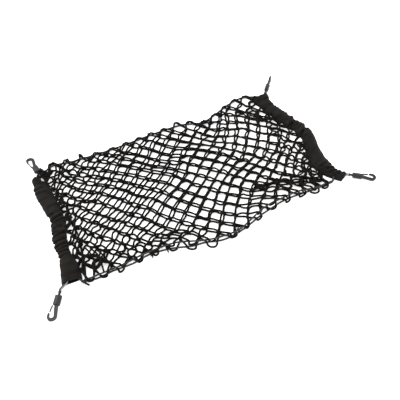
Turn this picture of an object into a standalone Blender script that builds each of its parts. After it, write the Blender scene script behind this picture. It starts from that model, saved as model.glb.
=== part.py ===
"""Elastic cargo net: a flat pouch of two diamond-mesh layers between two ruched
end sleeves, drawn up on elastic cords, with a plastic snap hook at each corner.

It lies on the floor as it was put down: the mesh relaxed and uneven, the near
edge sagging out in the middle, the sleeves wavy.  Sizes are in millimetres in
the tables and become metres when a mesh is made.  X runs along the net, Y from
the open near edge to the folded far edge, Z up, origin under the middle of the
bounding box.
"""
import math
import bpy
import bmesh
from mathutils import Matrix, Vector

MM = 0.001

# ------------------------------------------------------------ driving sizes
CENTRE_X, CENTRE_Y = -4.65, -2.91  # middle of the outline in the tables' frame
NET_U, NET_V = 17.0, 10.0         # diamonds along and across
SHEET = 2.5                       # thickness of one mesh layer
GAP = 0.3                         # between touching pieces
GRID_U, GRID_V = 28, 14           # facets of a layer
LAYER_RISE = 7.3                  # underside of the upper layer, lying on knots
MOUTH_RISE = 9.4                  # the same at the middle of the open edge
SEAM_RISE = 2.9                   # the same where a sleeve holds both layers
CORD_D = 4.0                      # edge elastics
END_CORD_D = 5.0                  # end elastics
END_CORD_Z = 4.4
CHANNEL_D = END_CORD_D + 5 * GAP

# ------------------------------------------------------------ the outline
NEAR_COLS = ("u", "x", "y")       # the open edge, along its elastic
NEAR = [(0.0, -279, -142), (1.5, -250, -148), (3.5, -184, -148),
        (5.5, -116, -147), (7.5, -48, -167), (8.5, -10, -178),
        (9.5, 30, -177), (11.5, 100, -155), (13.5, 172, -150),
        (15.5, 226, -156), (17.0, 263, -155)]
FAR_COLS = ("u", "x", "y")        # the folded edge, along its elastic
FAR = [(0.0, -262, 132), (0.9, -238, 145), (2.4, -196, 138), (4.5, -126, 133),
       (6.5, -62, 133), (8.5, -3, 134), (10.4, 56, 131), (12.0, 101, 117),
       (13.2, 138, 127), (14.6, 181, 142), (15.8, 217, 147), (17.0, 256, 132)]
LEFT_COLS = ("v", "x", "y")       # where the left sleeve takes the mesh
LEFT = [(0.0, -279, -142), (1.3, -272, -105), (2.6, -273, -68),
        (3.8, -266, -30), (5.0, -257, 3), (6.2, -258, 36), (8.0, -258, 84),
        (9.2, -262, 115), (10.0, -262, 132)]
RIGHT_COLS = ("v", "x", "y")      # where the right sleeve takes the mesh
RIGHT = [(0.0, 263, -155), (1.0, 251, -126), (2.0, 245, -100), (3.0, 251, -72),
         (4.1, 263, -42), (4.9, 270, -18), (6.1, 263, 18), (7.1, 252, 46),
         (8.5, 246, 88), (9.2, 250, 112), (10.0, 256, 132)]

# outer edge of each sleeve, its height and where its cord runs across it
SLEEVE_COLS = ("t", "x", "y", "height", "cord_share")
LEFT_SLEEVE = [(0.00, -310, -136, 11.0, 0.80), (0.07, -307, -116, 9.0, 0.62),
               (0.20, -300, -83, 8.6, 0.50), (0.35, -299, -41, 9.6, 0.50),
               (0.45, -293, -15, 8.8, 0.50), (0.56, -287, 15, 10.0, 0.48),
               (0.69, -290, 50, 9.2, 0.50), (0.82, -293, 85, 9.8, 0.50),
               (0.93, -288, 113, 9.0, 0.42), (1.00, -283, 127, 12.0, 0.34)]
RIGHT_SLEEVE = [(0.00, 299, -150, 11.4, 0.76), (0.07, 292, -134, 9.4, 0.60),
                (0.14, 287, -113, 8.8, 0.50), (0.27, 288, -76, 9.6, 0.50),
                (0.37, 294, -49, 9.0, 0.50), (0.45, 301, -27, 9.8, 0.48),
                (0.52, 304, -8, 9.2, 0.50), (0.60, 300, 12, 9.0, 0.50),
                (0.69, 292, 38, 9.8, 0.50), (0.79, 280, 76, 9.2, 0.46),
                (0.90, 273, 104, 9.4, 0.44), (1.00, 276, 129, 12.6, 0.58)]
RIGHT_END_SLANT = (15.0, -11.0)   # its near end is cut on the slant
SLEEVE_ROWS = 26
CREASE_COLS = ("t", "depth", "length")   # soft troughs across a sleeve
LEFT_CREASES = [(0.36, 1.1, 7), (0.49, 2.6, 8), (0.55, 1.4, 6), (0.64, 1.2, 7),
                (0.80, 1.0, 9)]
RIGHT_CREASES = [(0.12, 1.3, 7), (0.40, 2.4, 8), (0.47, 1.6, 6),
                 (0.60, 1.2, 8), (0.84, 1.0, 9)]

# folds of the mesh: a soft ridge that lifts both layers or only the upper one
FOLD_COLS = ("u", "v", "long", "wide", "turn_deg", "lift", "layer")
FOLDS = [(5.2, 1.5, 46, 15, 14, 4.0, "upper"),
         (3.4, 1.1, 52, 16, 28, 4.5, "upper"),
         (0.9, 3.2, 44, 15, 84, 4.0, "upper"),
         (1.7, 7.8, 40, 16, 62, 3.0, "upper"),
         (15.6, 5.3, 42, 15, 70, 4.0, "upper"),
         (14.2, 7.9, 40, 16, 40, 3.5, "upper"),
         (13.8, 4.6, 46, 16, -20, 3.0, "upper"),
         (9.4, 8.9, 34, 13, 8, 2.5, "upper"),
         (11.4, 2.0, 56, 18, 10, 2.5, "upper")]

# cells of the mesh that are cut through both layers
HOLE_COLS = ("u", "v")
HOLES = [(3.0, 2.5), (7.0, 2.5), (11.0, 2.5), (14.0, 2.5),
         (3.5, 5.0), (6.5, 5.0), (9.5, 5.0), (13.5, 5.0),
         (4.0, 7.5), (7.0, 7.5), (10.0, 7.5), (14.0, 7.5)]
HOLE_SHARE = 0.84                 # clear part of a cell between its strands

# ------------------------------------------------------------ the hooks
NUB_D, NECK_D = 6.4, 4.8
NUB_BACK, NECK_BACK = 8.0, 4.6
BARREL_LONG = 19.0
CORE_R, LOBE_R, LOBE_OUT = 5.0, 3.6, 3.0
HOOK_T = 4.5                      # thickness of the flat hook
HOOK_ROUND = 0.7
GATE_W, GATE_T = 2.2, 4.0
GATE_ROOT = (20.7, 6.3)           # its hinge in the hook's own frame
GATE_TIP = (32.6, 8.2)
SHANK_COLS = ("x", "n", "width")  # centre line of the shank
SHANK = [(13.0, -0.6, 6.8), (21.5, -0.9, 6.8), (30.0, -2.3, 6.4),
         (39.2, -3.85, 6.1)]
BEND_C = (39.4, 3.1)              # centre of the round end
BEND_IN = 3.9                     # inner radius
BEND_OUT = (10.0, 9.6, 7.5)       # outer radius at shank side, end and tip side
TIP_X, TIP_IN, TIP_OUT = 34.4, 7.1, 10.6
FLAT_HALF_DEG = 17.0              # half the flat at the inside of the bend

HOOK_COLS = ("name", "x", "y", "z", "dx", "dy", "drop_deg", "roll_deg")
HOOKS = [("near_left", -323.5, -154.0, 6.7, -0.563, -0.826, 5.0, 180.0),
         ("near_right", 304.0, -160.8, 6.7, 0.826, -0.563, 5.0, 0.0),
         ("far_left", -269.3, 140.0, 6.7, -0.060, 0.998, 5.0, 0.0),
         ("far_right", 276.5, 138.4, 8.96, 0.690, 0.724, -2.6, -90.0)]

COLORS = {"net": (0.012, 0.012, 0.012), "sleeve": (0.018, 0.016, 0.016),
          "cord": (0.035, 0.035, 0.037), "hook": (0.065, 0.063, 0.064)}
ROUGH = {"net": 0.85, "sleeve": 0.9, "cord": 0.75, "hook": 0.42}


# ------------------------------------------------------------ small helpers
def hermite(rows, t):
    """Smooth curve through rows whose first column is the parameter."""
    n = len(rows)
    k = 0
    while k < n - 2 and t > rows[k + 1][0]:
        k += 1
    a, b = rows[k], rows[k + 1]
    h = b[0] - a[0]
    s = (t - a[0]) / h
    out = []
    for c in range(1, len(a)):
        def slope(i):
            if i == 0:
                return (rows[1][c] - rows[0][c]) / (rows[1][0] - rows[0][0])
            if i == n - 1:
                return (rows[-1][c] - rows[-2][c]) / (rows[-1][0] - rows[-2][0])
            return (rows[i + 1][c] - rows[i - 1][c]) / (rows[i + 1][0] - rows[i - 1][0])
        m0, m1 = slope(k) * h, slope(k + 1) * h
        out.append((2 * s**3 - 3 * s**2 + 1) * a[c] + (s**3 - 2 * s**2 + s) * m0
                   + (3 * s**2 - 2 * s**3) * b[c] + (s**3 - s**2) * m1)
    return out


def near_at(u):
    x, y = hermite(NEAR, u)
    return Vector((x, y))


def far_at(u):
    x, y = hermite(FAR, u)
    return Vector((x, y))


def left_at(v):
    x, y = hermite(LEFT, v)
    return Vector((x, y))


def right_at(v):
    x, y = hermite(RIGHT, v)
    return Vector((x, y))


def net_xy(u, v):
    """Place on the floor of mesh coordinate (u, v), between the four edges."""
    a, b = u / NET_U, v / NET_V
    corners = ((1 - a) * (1 - b) * near_at(0) + a * (1 - b) * near_at(NET_U)
               + (1 - a) * b * far_at(0) + a * b * far_at(NET_U))
    return ((1 - b) * near_at(u) + b * far_at(u)
            + (1 - a) * left_at(v) + a * right_at(v) - corners)


def step(x):
    x = min(1.0, max(0.0, x))
    return x * x * (3 - 2 * x)


def fold_lift(x, y, layer):
    z = 0.0
    for u, v, long, wide, turn, lift, who in FOLDS:
        if who != layer:
            continue
        c = net_xy(u, v)
        t = math.radians(turn)
        dx, dy = x - c.x, y - c.y
        along = (dx * math.cos(t) + dy * math.sin(t)) / long
        across = (-dx * math.sin(t) + dy * math.cos(t)) / wide
        z += lift * math.exp(-along**2 - across**2)
    return z


def rise(u, v, x, y):
    """Underside height of the upper layer."""
    side = step(min(u, NET_U - u) / 1.5)
    mouth = step(min(u - 1.0, NET_U - 1.0 - u) / 2.5) * step((2.6 - v) / 2.6)
    z = SEAM_RISE + (LAYER_RISE - SEAM_RISE) * side
    z += (MOUTH_RISE - LAYER_RISE) * mouth
    fade = step((min(u, NET_U - u) - 0.1) / 0.8) * step((v - 0.1) / 0.9)
    return z + fold_lift(x, y, "upper") * fade


def to_m(x, y, z):
    return Vector(((x - CENTRE_X) * MM, (y - CENTRE_Y) * MM, z * MM))


def material(kind):
    name = kind + "_finish"
    mat = bpy.data.materials.get(name)
    if mat is None:
        mat = bpy.data.materials.new(name)
        mat.use_nodes = True
        bsdf = mat.node_tree.nodes["Principled BSDF"]
        bsdf.inputs["Base Color"].default_value = (*COLORS[kind], 1.0)
        bsdf.inputs["Roughness"].default_value = ROUGH[kind]
        bsdf.inputs["Metallic"].default_value = 0.0
    return mat


def add_object(name, data, kind, collection):
    obj = bpy.data.objects.new(name, data)
    collection.objects.link(obj)
    if kind:
        mat = material(kind).copy()
        mat.name = name + "_finish"
        data.materials.append(mat)
    return obj


def as_cutter(obj, collection):
    for c in list(obj.users_collection):
        c.objects.unlink(obj)
    collection.objects.link(obj)
    obj.hide_render = True
    obj.display_type = "WIRE"


def boolean(obj, other, operation):
    mod = obj.modifiers.new(operation.lower() + "_" + other.name, "BOOLEAN")
    mod.operation = operation
    mod.solver = "EXACT"
    mod.object = other


# ------------------------------------------------------------ pieces
def net_layer(name, layer, parts):
    """One layer: a grid drawn to the outline, lifted to its folds, thickened."""
    bm = bmesh.new()
    bmesh.ops.create_grid(bm, x_segments=GRID_U, y_segments=GRID_V, size=0.5)
    clear = CORD_D / 2 + GAP + 0.15
    for vert in bm.verts:
        a, b = vert.co.x + 0.5, vert.co.y + 0.5
        u, v = a * NET_U, b * NET_V
        p = net_xy(u, v)
        p.y += clear * (1 - b) - clear * b       # beside the edge elastics
        p.x += 0.7 * (1 - a) - 0.7 * a           # beside the sleeves
        z = 0.0 if layer == "lower" else rise(u, v, p.x, p.y)
        vert.co = to_m(p.x, p.y, z)
    mesh = bpy.data.meshes.new(name)
    bm.to_mesh(mesh)
    bm.free()
    obj = add_object(name, mesh, "net", parts)
    thick = obj.modifiers.new("thickness", "SOLIDIFY")
    thick.thickness = SHEET * MM
    thick.offset = 1.0
    return obj


def hole_cutter(cutters):
    """Upright diamond prisms through the chosen cells of both layers."""
    bm = bmesh.new()
    for u, v in HOLES:
        c = net_xy(u, v)
        ring = []
        for du, dv in ((0.5, 0), (0, 0.5), (-0.5, 0), (0, -0.5)):
            p = c + (net_xy(u + du, v + dv) - c) * HOLE_SHARE
            ring.append(p)
        low = [bm.verts.new(to_m(p.x, p.y, -4.0)) for p in ring]
        high = [bm.verts.new(to_m(p.x, p.y, 24.0)) for p in ring]
        bm.faces.new(list(reversed(low)))
        bm.faces.new(high)
        for k in range(4):
            j = (k + 1) % 4
            bm.faces.new((low[k], low[j], high[j], high[k]))
    mesh = bpy.data.meshes.new("cell_cutter")
    bm.to_mesh(mesh)
    bm.free()
    obj = bpy.data.objects.new("cell_cutter", mesh)
    cutters.objects.link(obj)
    as_cutter(obj, cutters)
    return obj


def sleeve_frame(side, t):
    """Inner and outer point, height and cord place of a sleeve at share t."""
    inner_t = 0.015 + 0.97 * t
    if side == "left":
        inner = left_at(inner_t * NET_V)
        x, y, height, share = hermite(LEFT_SLEEVE, t)
        creases = LEFT_CREASES
    else:
        inner = right_at(inner_t * NET_V)
        slant = max(0.0, 1 - t / 0.09) ** 2
        inner += Vector(RIGHT_END_SLANT) * slant
        x, y, height, share = hermite(RIGHT_SLEEVE, t)
        creases = RIGHT_CREASES
    outer = Vector((x, y))
    out = (outer - inner).normalized()
    long = 285.0
    drop = sum(d * math.exp(-((t - c) * long / w) ** 2) for c, d, w in creases)
    return inner + out * 0.4, outer, height - drop, share


SECTION_COLS = ("share", "height_share", "height_add")
SECTION = [(0.00, 0.00, 0.0), (0.50, 0.00, 0.0), (0.95, 0.00, 0.0),
           (1.00, 0.00, 1.1), (0.955, 0.38, 0.6), (0.80, 0.82, 0.0),
           (0.62, 0.99, 0.0), (0.46, 1.00, 0.0), (0.28, 0.95, 0.0),
           (0.12, 0.76, 0.0), (0.015, 0.60, 0.0), (0.00, 0.30, 0.0)]


def sleeve(side, parts):
    """Ruched cloth channel: flat below, humped over its elastic, open ended."""
    name = "sleeve_" + side
    bm = bmesh.new()
    outer_rings, bore_rings = [], []
    route = end_route(side)
    for k in range(SLEEVE_ROWS):
        t = k / (SLEEVE_ROWS - 1)
        inner, outer, height, share = sleeve_frame(side, t)
        across = outer - inner
        unit = across.normalized()
        mid, mid_z, square = crossing(route, inner, unit)
        ring = []
        crown = (mid - inner).dot(unit) / across.length
        for s, hs, ha in SECTION:
            if hs > 0.0:                  # the hump sits over the cord
                s = s * crown * 2 if s < 0.5 else crown + (s - 0.5) * (1 - crown) * 2
            p = inner + across * s
            ring.append(bm.verts.new(to_m(p.x, p.y, hs * height + ha)))
        outer_rings.append(ring)
        bore = []
        for j in range(8):
            w = 2 * math.pi * (j + 0.5) / 8
            r = CHANNEL_D / 2 / math.cos(math.pi / 8)
            p = mid + unit * (r * math.cos(w) / square)
            bore.append(bm.verts.new(to_m(p.x, p.y, mid_z + r * math.sin(w))))
        bore_rings.append(bore)
    for rings in (outer_rings, bore_rings):
        for a, b in zip(rings[:-1], rings[1:]):
            n = len(a)
            for j in range(n):
                bm.faces.new((a[j], a[(j + 1) % n], b[(j + 1) % n], b[j]))
    for end in (0, -1):
        loops = []
        for ring in (outer_rings[end], bore_rings[end]):
            n = len(ring)
            loops += [bm.edges.get((ring[j], ring[(j + 1) % n])) for j in range(n)]
        bmesh.ops.triangle_fill(bm, use_beauty=True, edges=loops)
    bmesh.ops.recalc_face_normals(bm, faces=bm.faces)
    mesh = bpy.data.meshes.new(name)
    bm.to_mesh(mesh)
    bm.free()
    return add_object(name, mesh, "sleeve", parts)


def smooth_route(points, count):
    """Evenly spaced points on a smooth curve through the route's points."""
    rows = []
    s = 0.0
    for k, p in enumerate(points):
        if k:
            s += (Vector(p) - Vector(points[k - 1])).length
        rows.append((s, *p))
    fine = [Vector(hermite(rows, s * k / 400.0)) for k in range(401)]
    run = [0.0]
    for a, b in zip(fine[:-1], fine[1:]):
        run.append(run[-1] + (b - a).length)
    out, j = [], 0
    for k in range(count):
        want = run[-1] * k / (count - 1)
        while j < len(run) - 2 and run[j + 1] < want:
            j += 1
        f = (want - run[j]) / (run[j + 1] - run[j])
        out.append(fine[j].lerp(fine[j + 1], min(1.0, f)))
    return out


def cord(name, points, diameter, parts):
    curve = bpy.data.curves.new(name, "CURVE")
    curve.dimensions = "3D"
    curve.bevel_depth = diameter / 2 * MM
    curve.bevel_resolution = 2
    curve.use_fill_caps = True
    spline = curve.splines.new("POLY")
    spline.points.add(len(points) - 1)
    for pt, p in zip(spline.points, points):
        pt.co = (*to_m(*p), 1.0)
    return add_object(name, curve, "cord", parts)


def edge_cords(parts):
    """Two elastics in the open edge and one in the fold."""
    r = CORD_D / 2
    for name, who in (("cord_mouth_lower", "lower"), ("cord_mouth_upper", "upper")):
        pts = []
        for k in range(46):
            u = 0.68 + (16.80 - 0.68) * k / 45
            p = near_at(u)
            z = r
            if who == "upper":
                lift = step(min(u - 0.68, 16.80 - u) / 3.0)
                z = 3 * r + 0.4 + (MOUTH_RISE + SHEET / 2 - 3 * r - 0.4) * lift
            pts.append((p.x, p.y, z))
        cord(name, smooth_route(pts, 42), CORD_D, parts)
    pts = []
    for k in range(46):
        u = 0.14 + (16.86 - 0.14) * k / 45
        p = far_at(u)
        pts.append((p.x, p.y, 3.4))
    cord("cord_fold", smooth_route(pts, 42), CORD_D, parts)


def hook_frame(row):
    """World placing of a hook: x along it, y to its point's side."""
    _, x, y, z, dx, dy, drop, roll = row
    d = Vector((dx, dy, 0)).normalized()
    side = Vector((-d.y, d.x, 0))
    base = Matrix((d, side, Vector((0, 0, 1)))).transposed().to_4x4()
    tilt = Matrix.Rotation(math.radians(drop), 4, "Y")
    turn = Matrix.Rotation(math.radians(roll), 4, "X")
    return Matrix.Translation(to_m(x, y, z)) @ base @ tilt @ turn


def hook_back(row, dist):
    """A point behind the nub, in line with the hook, where its elastic lies."""
    p = hook_frame(row) @ Vector((-(NUB_BACK + dist) * MM, 0, 0))
    return (p.x / MM + CENTRE_X, p.y / MM + CENTRE_Y, p.z / MM)


def end_route(side, count=54):
    """Route of the elastic through a sleeve, from hook to hook."""
    hooks = {row[0]: row for row in HOOKS}
    pts = [hook_back(hooks["near_" + side], d) for d in (3 * GAP, 2.4, 4.2)]
    for k in range(14):
        t = 0.01 + 0.91 * k / 13
        inner, outer, height, share = sleeve_frame(side, t)
        p = inner + (outer - inner) * share
        pts.append((p.x, p.y, END_CORD_Z + (0.8 if k == 0 else 0.0)))
    pts += [hook_back(hooks["far_" + side], d) for d in (4.2, 2.4, 3 * GAP)]
    return smooth_route(pts, count)


def crossing(route, point, unit):
    """Where a route passes the upright plane through a point along a unit."""
    best = None
    for a, b in zip(route[:-1], route[1:]):
        sa = (a.x - point.x) * unit.y - (a.y - point.y) * unit.x
        sb = (b.x - point.x) * unit.y - (b.y - point.y) * unit.x
        if sa * sb <= 0 and sa != sb:
            p = a.lerp(b, sa / (sa - sb))
            away = (p.xy - point).length
            if best is None or away < best[0]:
                run = (b - a).normalized()
                best = (away, p, abs(run.x * unit.y - run.y * unit.x))
    return best[1].xy, best[1].z, best[2]


def end_cords(parts):
    """One elastic through each sleeve, from hook to hook."""
    for side in ("left", "right"):
        cord("cord_end_" + side, end_route(side), END_CORD_D, parts)


def hook_outline():
    """Closed outline of shank, bend and point, drawn in the hook's plane."""
    right, left = [], []
    for k in range(9):
        x, n, w = SHANK[0][0], 0, 0
        t = SHANK[0][0] + (SHANK[-1][0] - SHANK[0][0]) * k / 8
        n, w = hermite(SHANK, t)
        right.append((t, n - w / 2))
        left.append((t, n + w / 2))
    outer = []
    for k in range(1, 16):
        a = math.radians(-90 + 180 * k / 16)
        r0, r1, r2 = BEND_OUT
        s = k / 16
        r = r0 + (r1 - r0) * step(2 * s) if s < 0.5 else r1 + (r2 - r1) * step(2 * s - 1)
        outer.append((BEND_C[0] + r * math.cos(a), BEND_C[1] + r * math.sin(a)))
    inner = []
    f = FLAT_HALF_DEG
    for a in (84, 66, 50, 34, f, -f, -34, -50, -66, -82):
        w = math.radians(a)
        inner.append((BEND_C[0] + BEND_IN * math.cos(w), BEND_C[1] + BEND_IN * math.sin(w)))
    mid = (TIP_IN + TIP_OUT) / 2
    half = (TIP_OUT - TIP_IN) / 2
    tip = [(TIP_X + half * (1 - math.sin(math.radians(a))), mid + half * math.cos(math.radians(a)))
           for a in (0, 30, 60, 90, 120, 150, 180)]
    return right + outer + tip + inner + list(reversed(left))[1:]


def tube(name, r, x0, x1, n, cutters, sides=14, round_end=0.0):
    """Closed cylinder along x at offset n, its rims softened."""
    bm = bmesh.new()
    bmesh.ops.create_cone(bm, cap_ends=True, segments=sides, radius1=r * MM,
                          radius2=r * MM, depth=(x1 - x0) * MM)
    turn = Matrix.Rotation(math.radians(90), 4, "Y")
    spin = Matrix.Rotation(math.radians(180.0 / sides), 4, "Z")
    move = Matrix.Translation(Vector(((x0 + x1) / 2 * MM, n * MM, 0)))
    bmesh.ops.transform(bm, matrix=move @ turn @ spin, verts=bm.verts)
    mesh = bpy.data.meshes.new(name)
    bm.to_mesh(mesh)
    bm.free()
    obj = bpy.data.objects.new(name, mesh)
    cutters.objects.link(obj)
    if round_end:
        soft = obj.modifiers.new("rim", "BEVEL")
        soft.width = round_end * MM
        soft.segments = 2
        soft.limit_method = "ANGLE"
        soft.angle_limit = math.radians(60)
    return obj


def flat_hook(cutters):
    """Shank, bend and point: the outline extruded, its edges rounded."""
    curve = bpy.data.curves.new("hook_flat", "CURVE")
    curve.dimensions = "2D"
    curve.fill_mode = "BOTH"
    curve.extrude = (HOOK_T / 2 - HOOK_ROUND) * MM
    curve.bevel_depth = HOOK_ROUND * MM
    curve.bevel_resolution = 0
    curve.offset = -HOOK_ROUND * MM
    pts = hook_outline()
    spline = curve.splines.new("POLY")
    spline.points.add(len(pts) - 1)
    for pt, p in zip(spline.points, pts):
        pt.co = (p[0] * MM, p[1] * MM, 0, 1)
    spline.use_cyclic_u = True
    obj = bpy.data.objects.new("hook_flat", curve)
    cutters.objects.link(obj)
    bpy.context.view_layer.update()
    graph = bpy.context.evaluated_depsgraph_get()
    mesh = bpy.data.meshes.new_from_object(obj.evaluated_get(graph))
    bm = bmesh.new()
    bm.from_mesh(mesh)
    bmesh.ops.remove_doubles(bm, verts=bm.verts, dist=1e-6)
    bmesh.ops.recalc_face_normals(bm, faces=bm.faces)
    bm.to_mesh(mesh)
    bm.free()
    solid = bpy.data.objects.new("hook_flat_solid", mesh)
    cutters.objects.link(solid)
    bpy.data.objects.remove(obj)
    return solid


def hook_mesh(cutters):
    """The moulded body, all in one: nub, neck, lobed barrel, shank, bend, point."""
    body = flat_hook(cutters)
    front = BARREL_LONG
    pieces = [tube("barrel_core", CORE_R, 0.0, front, 0.0, cutters, 16, 1.2),
              tube("barrel_lobe_a", LOBE_R, 0.6, front - 0.7, LOBE_OUT, cutters, 12, 0.9),
              tube("barrel_lobe_b", LOBE_R, 0.6, front - 0.2, -LOBE_OUT, cutters, 12, 0.9),
              tube("neck", NECK_D / 2, -NECK_BACK - 1.0, 2.0, 0.0, cutters, 12),
              tube("nub", NUB_D / 2, -NUB_BACK, -NECK_BACK, 0.0, cutters, 12, 0.6)]
    for piece in pieces:
        boolean(body, piece, "UNION")
    bpy.context.view_layer.update()
    graph = bpy.context.evaluated_depsgraph_get()
    mesh = bpy.data.meshes.new_from_object(body.evaluated_get(graph))
    mesh.name = "hook_body"
    bpy.data.objects.remove(body)
    for piece in pieces:
        bpy.data.objects.remove(piece)
    return mesh


def gate_mesh():
    """Thin springy tongue; its own origin is the root, on the hinge axis."""
    gx, gy = GATE_TIP[0] - GATE_ROOT[0], GATE_TIP[1] - GATE_ROOT[1]
    long = math.hypot(gx, gy)
    turn = math.atan2(gy, gx)
    r = GATE_W / 2
    outline = [(r * math.cos(math.radians(a)), r * math.sin(math.radians(a)))
               for a in (90, 120, 150, 180, 210, 240, 270)]
    end = [(long - 0.5, -r * 0.8), (long, -r * 0.35), (long, r * 0.35), (long - 0.5, r * 0.8)]
    bm = bmesh.new()
    ring = [(x * math.cos(turn) - y * math.sin(turn), x * math.sin(turn) + y * math.cos(turn))
            for x, y in outline + end]
    verts = [bm.verts.new((x * MM, y * MM, -GATE_T / 2 * MM)) for x, y in ring]
    face = bm.faces.new(verts)
    grown = bmesh.ops.extrude_face_region(bm, geom=[face])
    top = [v for v in grown["geom"] if isinstance(v, bmesh.types.BMVert)]
    bmesh.ops.translate(bm, verts=top, vec=(0, 0, GATE_T * MM))
    bmesh.ops.recalc_face_normals(bm, faces=bm.faces)
    mesh = bpy.data.meshes.new("gate_tongue")
    bm.to_mesh(mesh)
    bm.free()
    return mesh


def hooks(parts, cutters):
    body = hook_mesh(cutters)
    body.materials.clear()
    tongue = gate_mesh()
    for row in HOOKS:
        place = hook_frame(row)
        obj = add_object("hook_" + row[0], body, None, parts)
        obj.matrix_world = place
        gate = add_object("gate_" + row[0], tongue, None, parts)
        gate.matrix_world = place @ Matrix.Translation(
            Vector((GATE_ROOT[0] * MM, GATE_ROOT[1] * MM, 0)))
    body.materials.append(material("hook"))
    tongue.materials.append(material("hook"))


def knot(parts, cutters):
    """Where the open edge's elastics are tied off: a lump with a cut-off tail."""
    bm = bmesh.new()
    bmesh.ops.create_icosphere(bm, subdivisions=2, radius=1.0)
    c = near_at(0.26)
    turn = Matrix.Rotation(math.radians(-12), 4, "Z")
    size = Matrix.Diagonal(Vector((5.2 * MM, 4.6 * MM, 4.3 * MM, 1)))
    move = Matrix.Translation(to_m(c.x + 0.8, c.y - 3.2, 4.40))
    bmesh.ops.transform(bm, matrix=move @ turn @ size, verts=bm.verts)
    mesh = bpy.data.meshes.new("knot_near_left")
    bm.to_mesh(mesh)
    bm.free()
    obj = add_object("knot_near_left", mesh, "cord", parts)
    tail = tube("tail", 1.8, 0.0, 13.5, 0.0, cutters, 10)
    tail.matrix_world = (Matrix.Translation(to_m(c.x + 0.8, c.y - 3.4, 3.55))
                         @ Matrix.Rotation(math.radians(-72), 4, "Z")
                         @ Matrix.Rotation(math.radians(7), 4, "Y"))
    as_cutter(tail, cutters)
    boolean(obj, tail, "UNION")
    return obj


def main():
    for obj in list(bpy.data.objects):
        bpy.data.objects.remove(obj)
    scene = bpy.context.scene
    scene.unit_settings.system = "METRIC"
    parts = bpy.data.collections.new("cargo_net")
    cutters = bpy.data.collections.new("cutters")
    scene.collection.children.link(parts)
    scene.collection.children.link(cutters)
    cells = hole_cutter(cutters)
    for name, layer in (("net_lower", "lower"), ("net_upper", "upper")):
        boolean(net_layer(name, layer, parts), cells, "DIFFERENCE")
    sleeve("left", parts)
    sleeve("right", parts)
    edge_cords(parts)
    end_cords(parts)
    hooks(parts, cutters)
    knot(parts, cutters)


main()
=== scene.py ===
"""Looks of the elastic cargo net: knitted mesh cord in two layers, ruched end
sleeves, braided elastics and moulded snap hooks, on a pale floor.

Tables are in millimetres, in the outline's own frame; mm() puts them into the
row frame in metres.
"""
import math
import bpy
import bmesh
import numpy as np
from mathutils import Matrix, Vector


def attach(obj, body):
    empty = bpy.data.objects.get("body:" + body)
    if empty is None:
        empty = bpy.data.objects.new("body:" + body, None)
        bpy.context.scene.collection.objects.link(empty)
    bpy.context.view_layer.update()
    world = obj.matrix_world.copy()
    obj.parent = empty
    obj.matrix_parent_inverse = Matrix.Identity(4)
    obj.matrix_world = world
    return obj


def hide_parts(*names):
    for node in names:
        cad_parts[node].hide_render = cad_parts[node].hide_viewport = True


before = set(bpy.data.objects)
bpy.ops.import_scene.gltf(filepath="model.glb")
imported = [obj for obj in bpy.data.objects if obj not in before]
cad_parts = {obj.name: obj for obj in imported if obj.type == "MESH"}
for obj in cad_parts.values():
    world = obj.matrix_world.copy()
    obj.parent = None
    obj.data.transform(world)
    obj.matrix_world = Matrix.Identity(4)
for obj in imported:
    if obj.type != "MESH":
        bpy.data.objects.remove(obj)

CX, CY = -4.65, -2.91             # middle of the outline in the tables' frame
NU, NV = 17.0, 10.0               # diamonds along and across
ROOT = "net"


def mm(p):
    """Points of the tables' frame, in metres in the row frame."""
    p = np.asarray(p, float)
    return (p - np.array([CX, CY, 0.0])) * 0.001


# --------------------------------------------------------------- the camera
def make_camera(elevation=52.0, azimuth=-27.0, distance=1.2, lens=54.0,
                target=(2.65, -69.09, 0.0)):
    e, a = math.radians(elevation), math.radians(azimuth)
    right = Vector((math.cos(a), math.sin(a), 0))
    ahead = Vector((-math.sin(a), math.cos(a), 0))
    look = math.cos(e) * ahead - math.sin(e) * Vector((0, 0, 1))
    up = math.sin(e) * ahead + math.cos(e) * Vector((0, 0, 1))
    data = bpy.data.cameras.new("camera")
    data.lens = lens
    data.sensor_width = 36.0
    data.clip_start = 0.02
    data.clip_end = 30.0
    cam = bpy.data.objects.new("camera", data)
    bpy.context.scene.collection.objects.link(cam)
    turn = Matrix((right, up, -look)).transposed().to_4x4()
    place = Vector(target) * 0.001 - look * distance
    cam.matrix_world = Matrix.Translation(place) @ turn
    bpy.context.scene.camera = cam
    return cam


make_camera()
bpy.context.scene.view_settings.view_transform = "Standard"
bpy.context.scene.view_settings.look = "None"

# --------------------------------------------------------------- tables
# u, x, y along the open edge's elastic
NEAR = [(0.0, -279, -142), (1.5, -250, -148), (3.5, -184, -148),
        (5.5, -116, -147), (7.5, -48, -167), (8.5, -10, -178),
        (9.5, 30, -177), (11.5, 100, -155), (13.5, 172, -150),
        (15.5, 226, -156), (17.0, 263, -155)]
# u, x, y along the folded edge's elastic
FAR = [(0.0, -262, 132), (0.9, -238, 145), (2.4, -196, 138), (4.5, -126, 133),
       (6.5, -62, 133), (8.5, -3, 134), (10.4, 56, 131), (12.0, 101, 117),
       (13.2, 138, 127), (14.6, 181, 142), (15.8, 217, 147), (17.0, 256, 132)]
# v, x, y where each sleeve takes the mesh
LEFT = [(0.0, -279, -142), (1.3, -272, -105), (2.6, -273, -68),
        (3.8, -266, -30), (5.0, -257, 3), (6.2, -258, 36), (8.0, -258, 84),
        (9.2, -262, 115), (10.0, -262, 132)]
RIGHT = [(0.0, 263, -155), (1.0, 251, -126), (2.0, 245, -100), (3.0, 251, -72),
         (4.1, 263, -42), (4.9, 270, -18), (6.1, 263, 18), (7.1, 252, 46),
         (8.5, 246, 88), (9.2, 250, 112), (10.0, 256, 132)]
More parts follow.
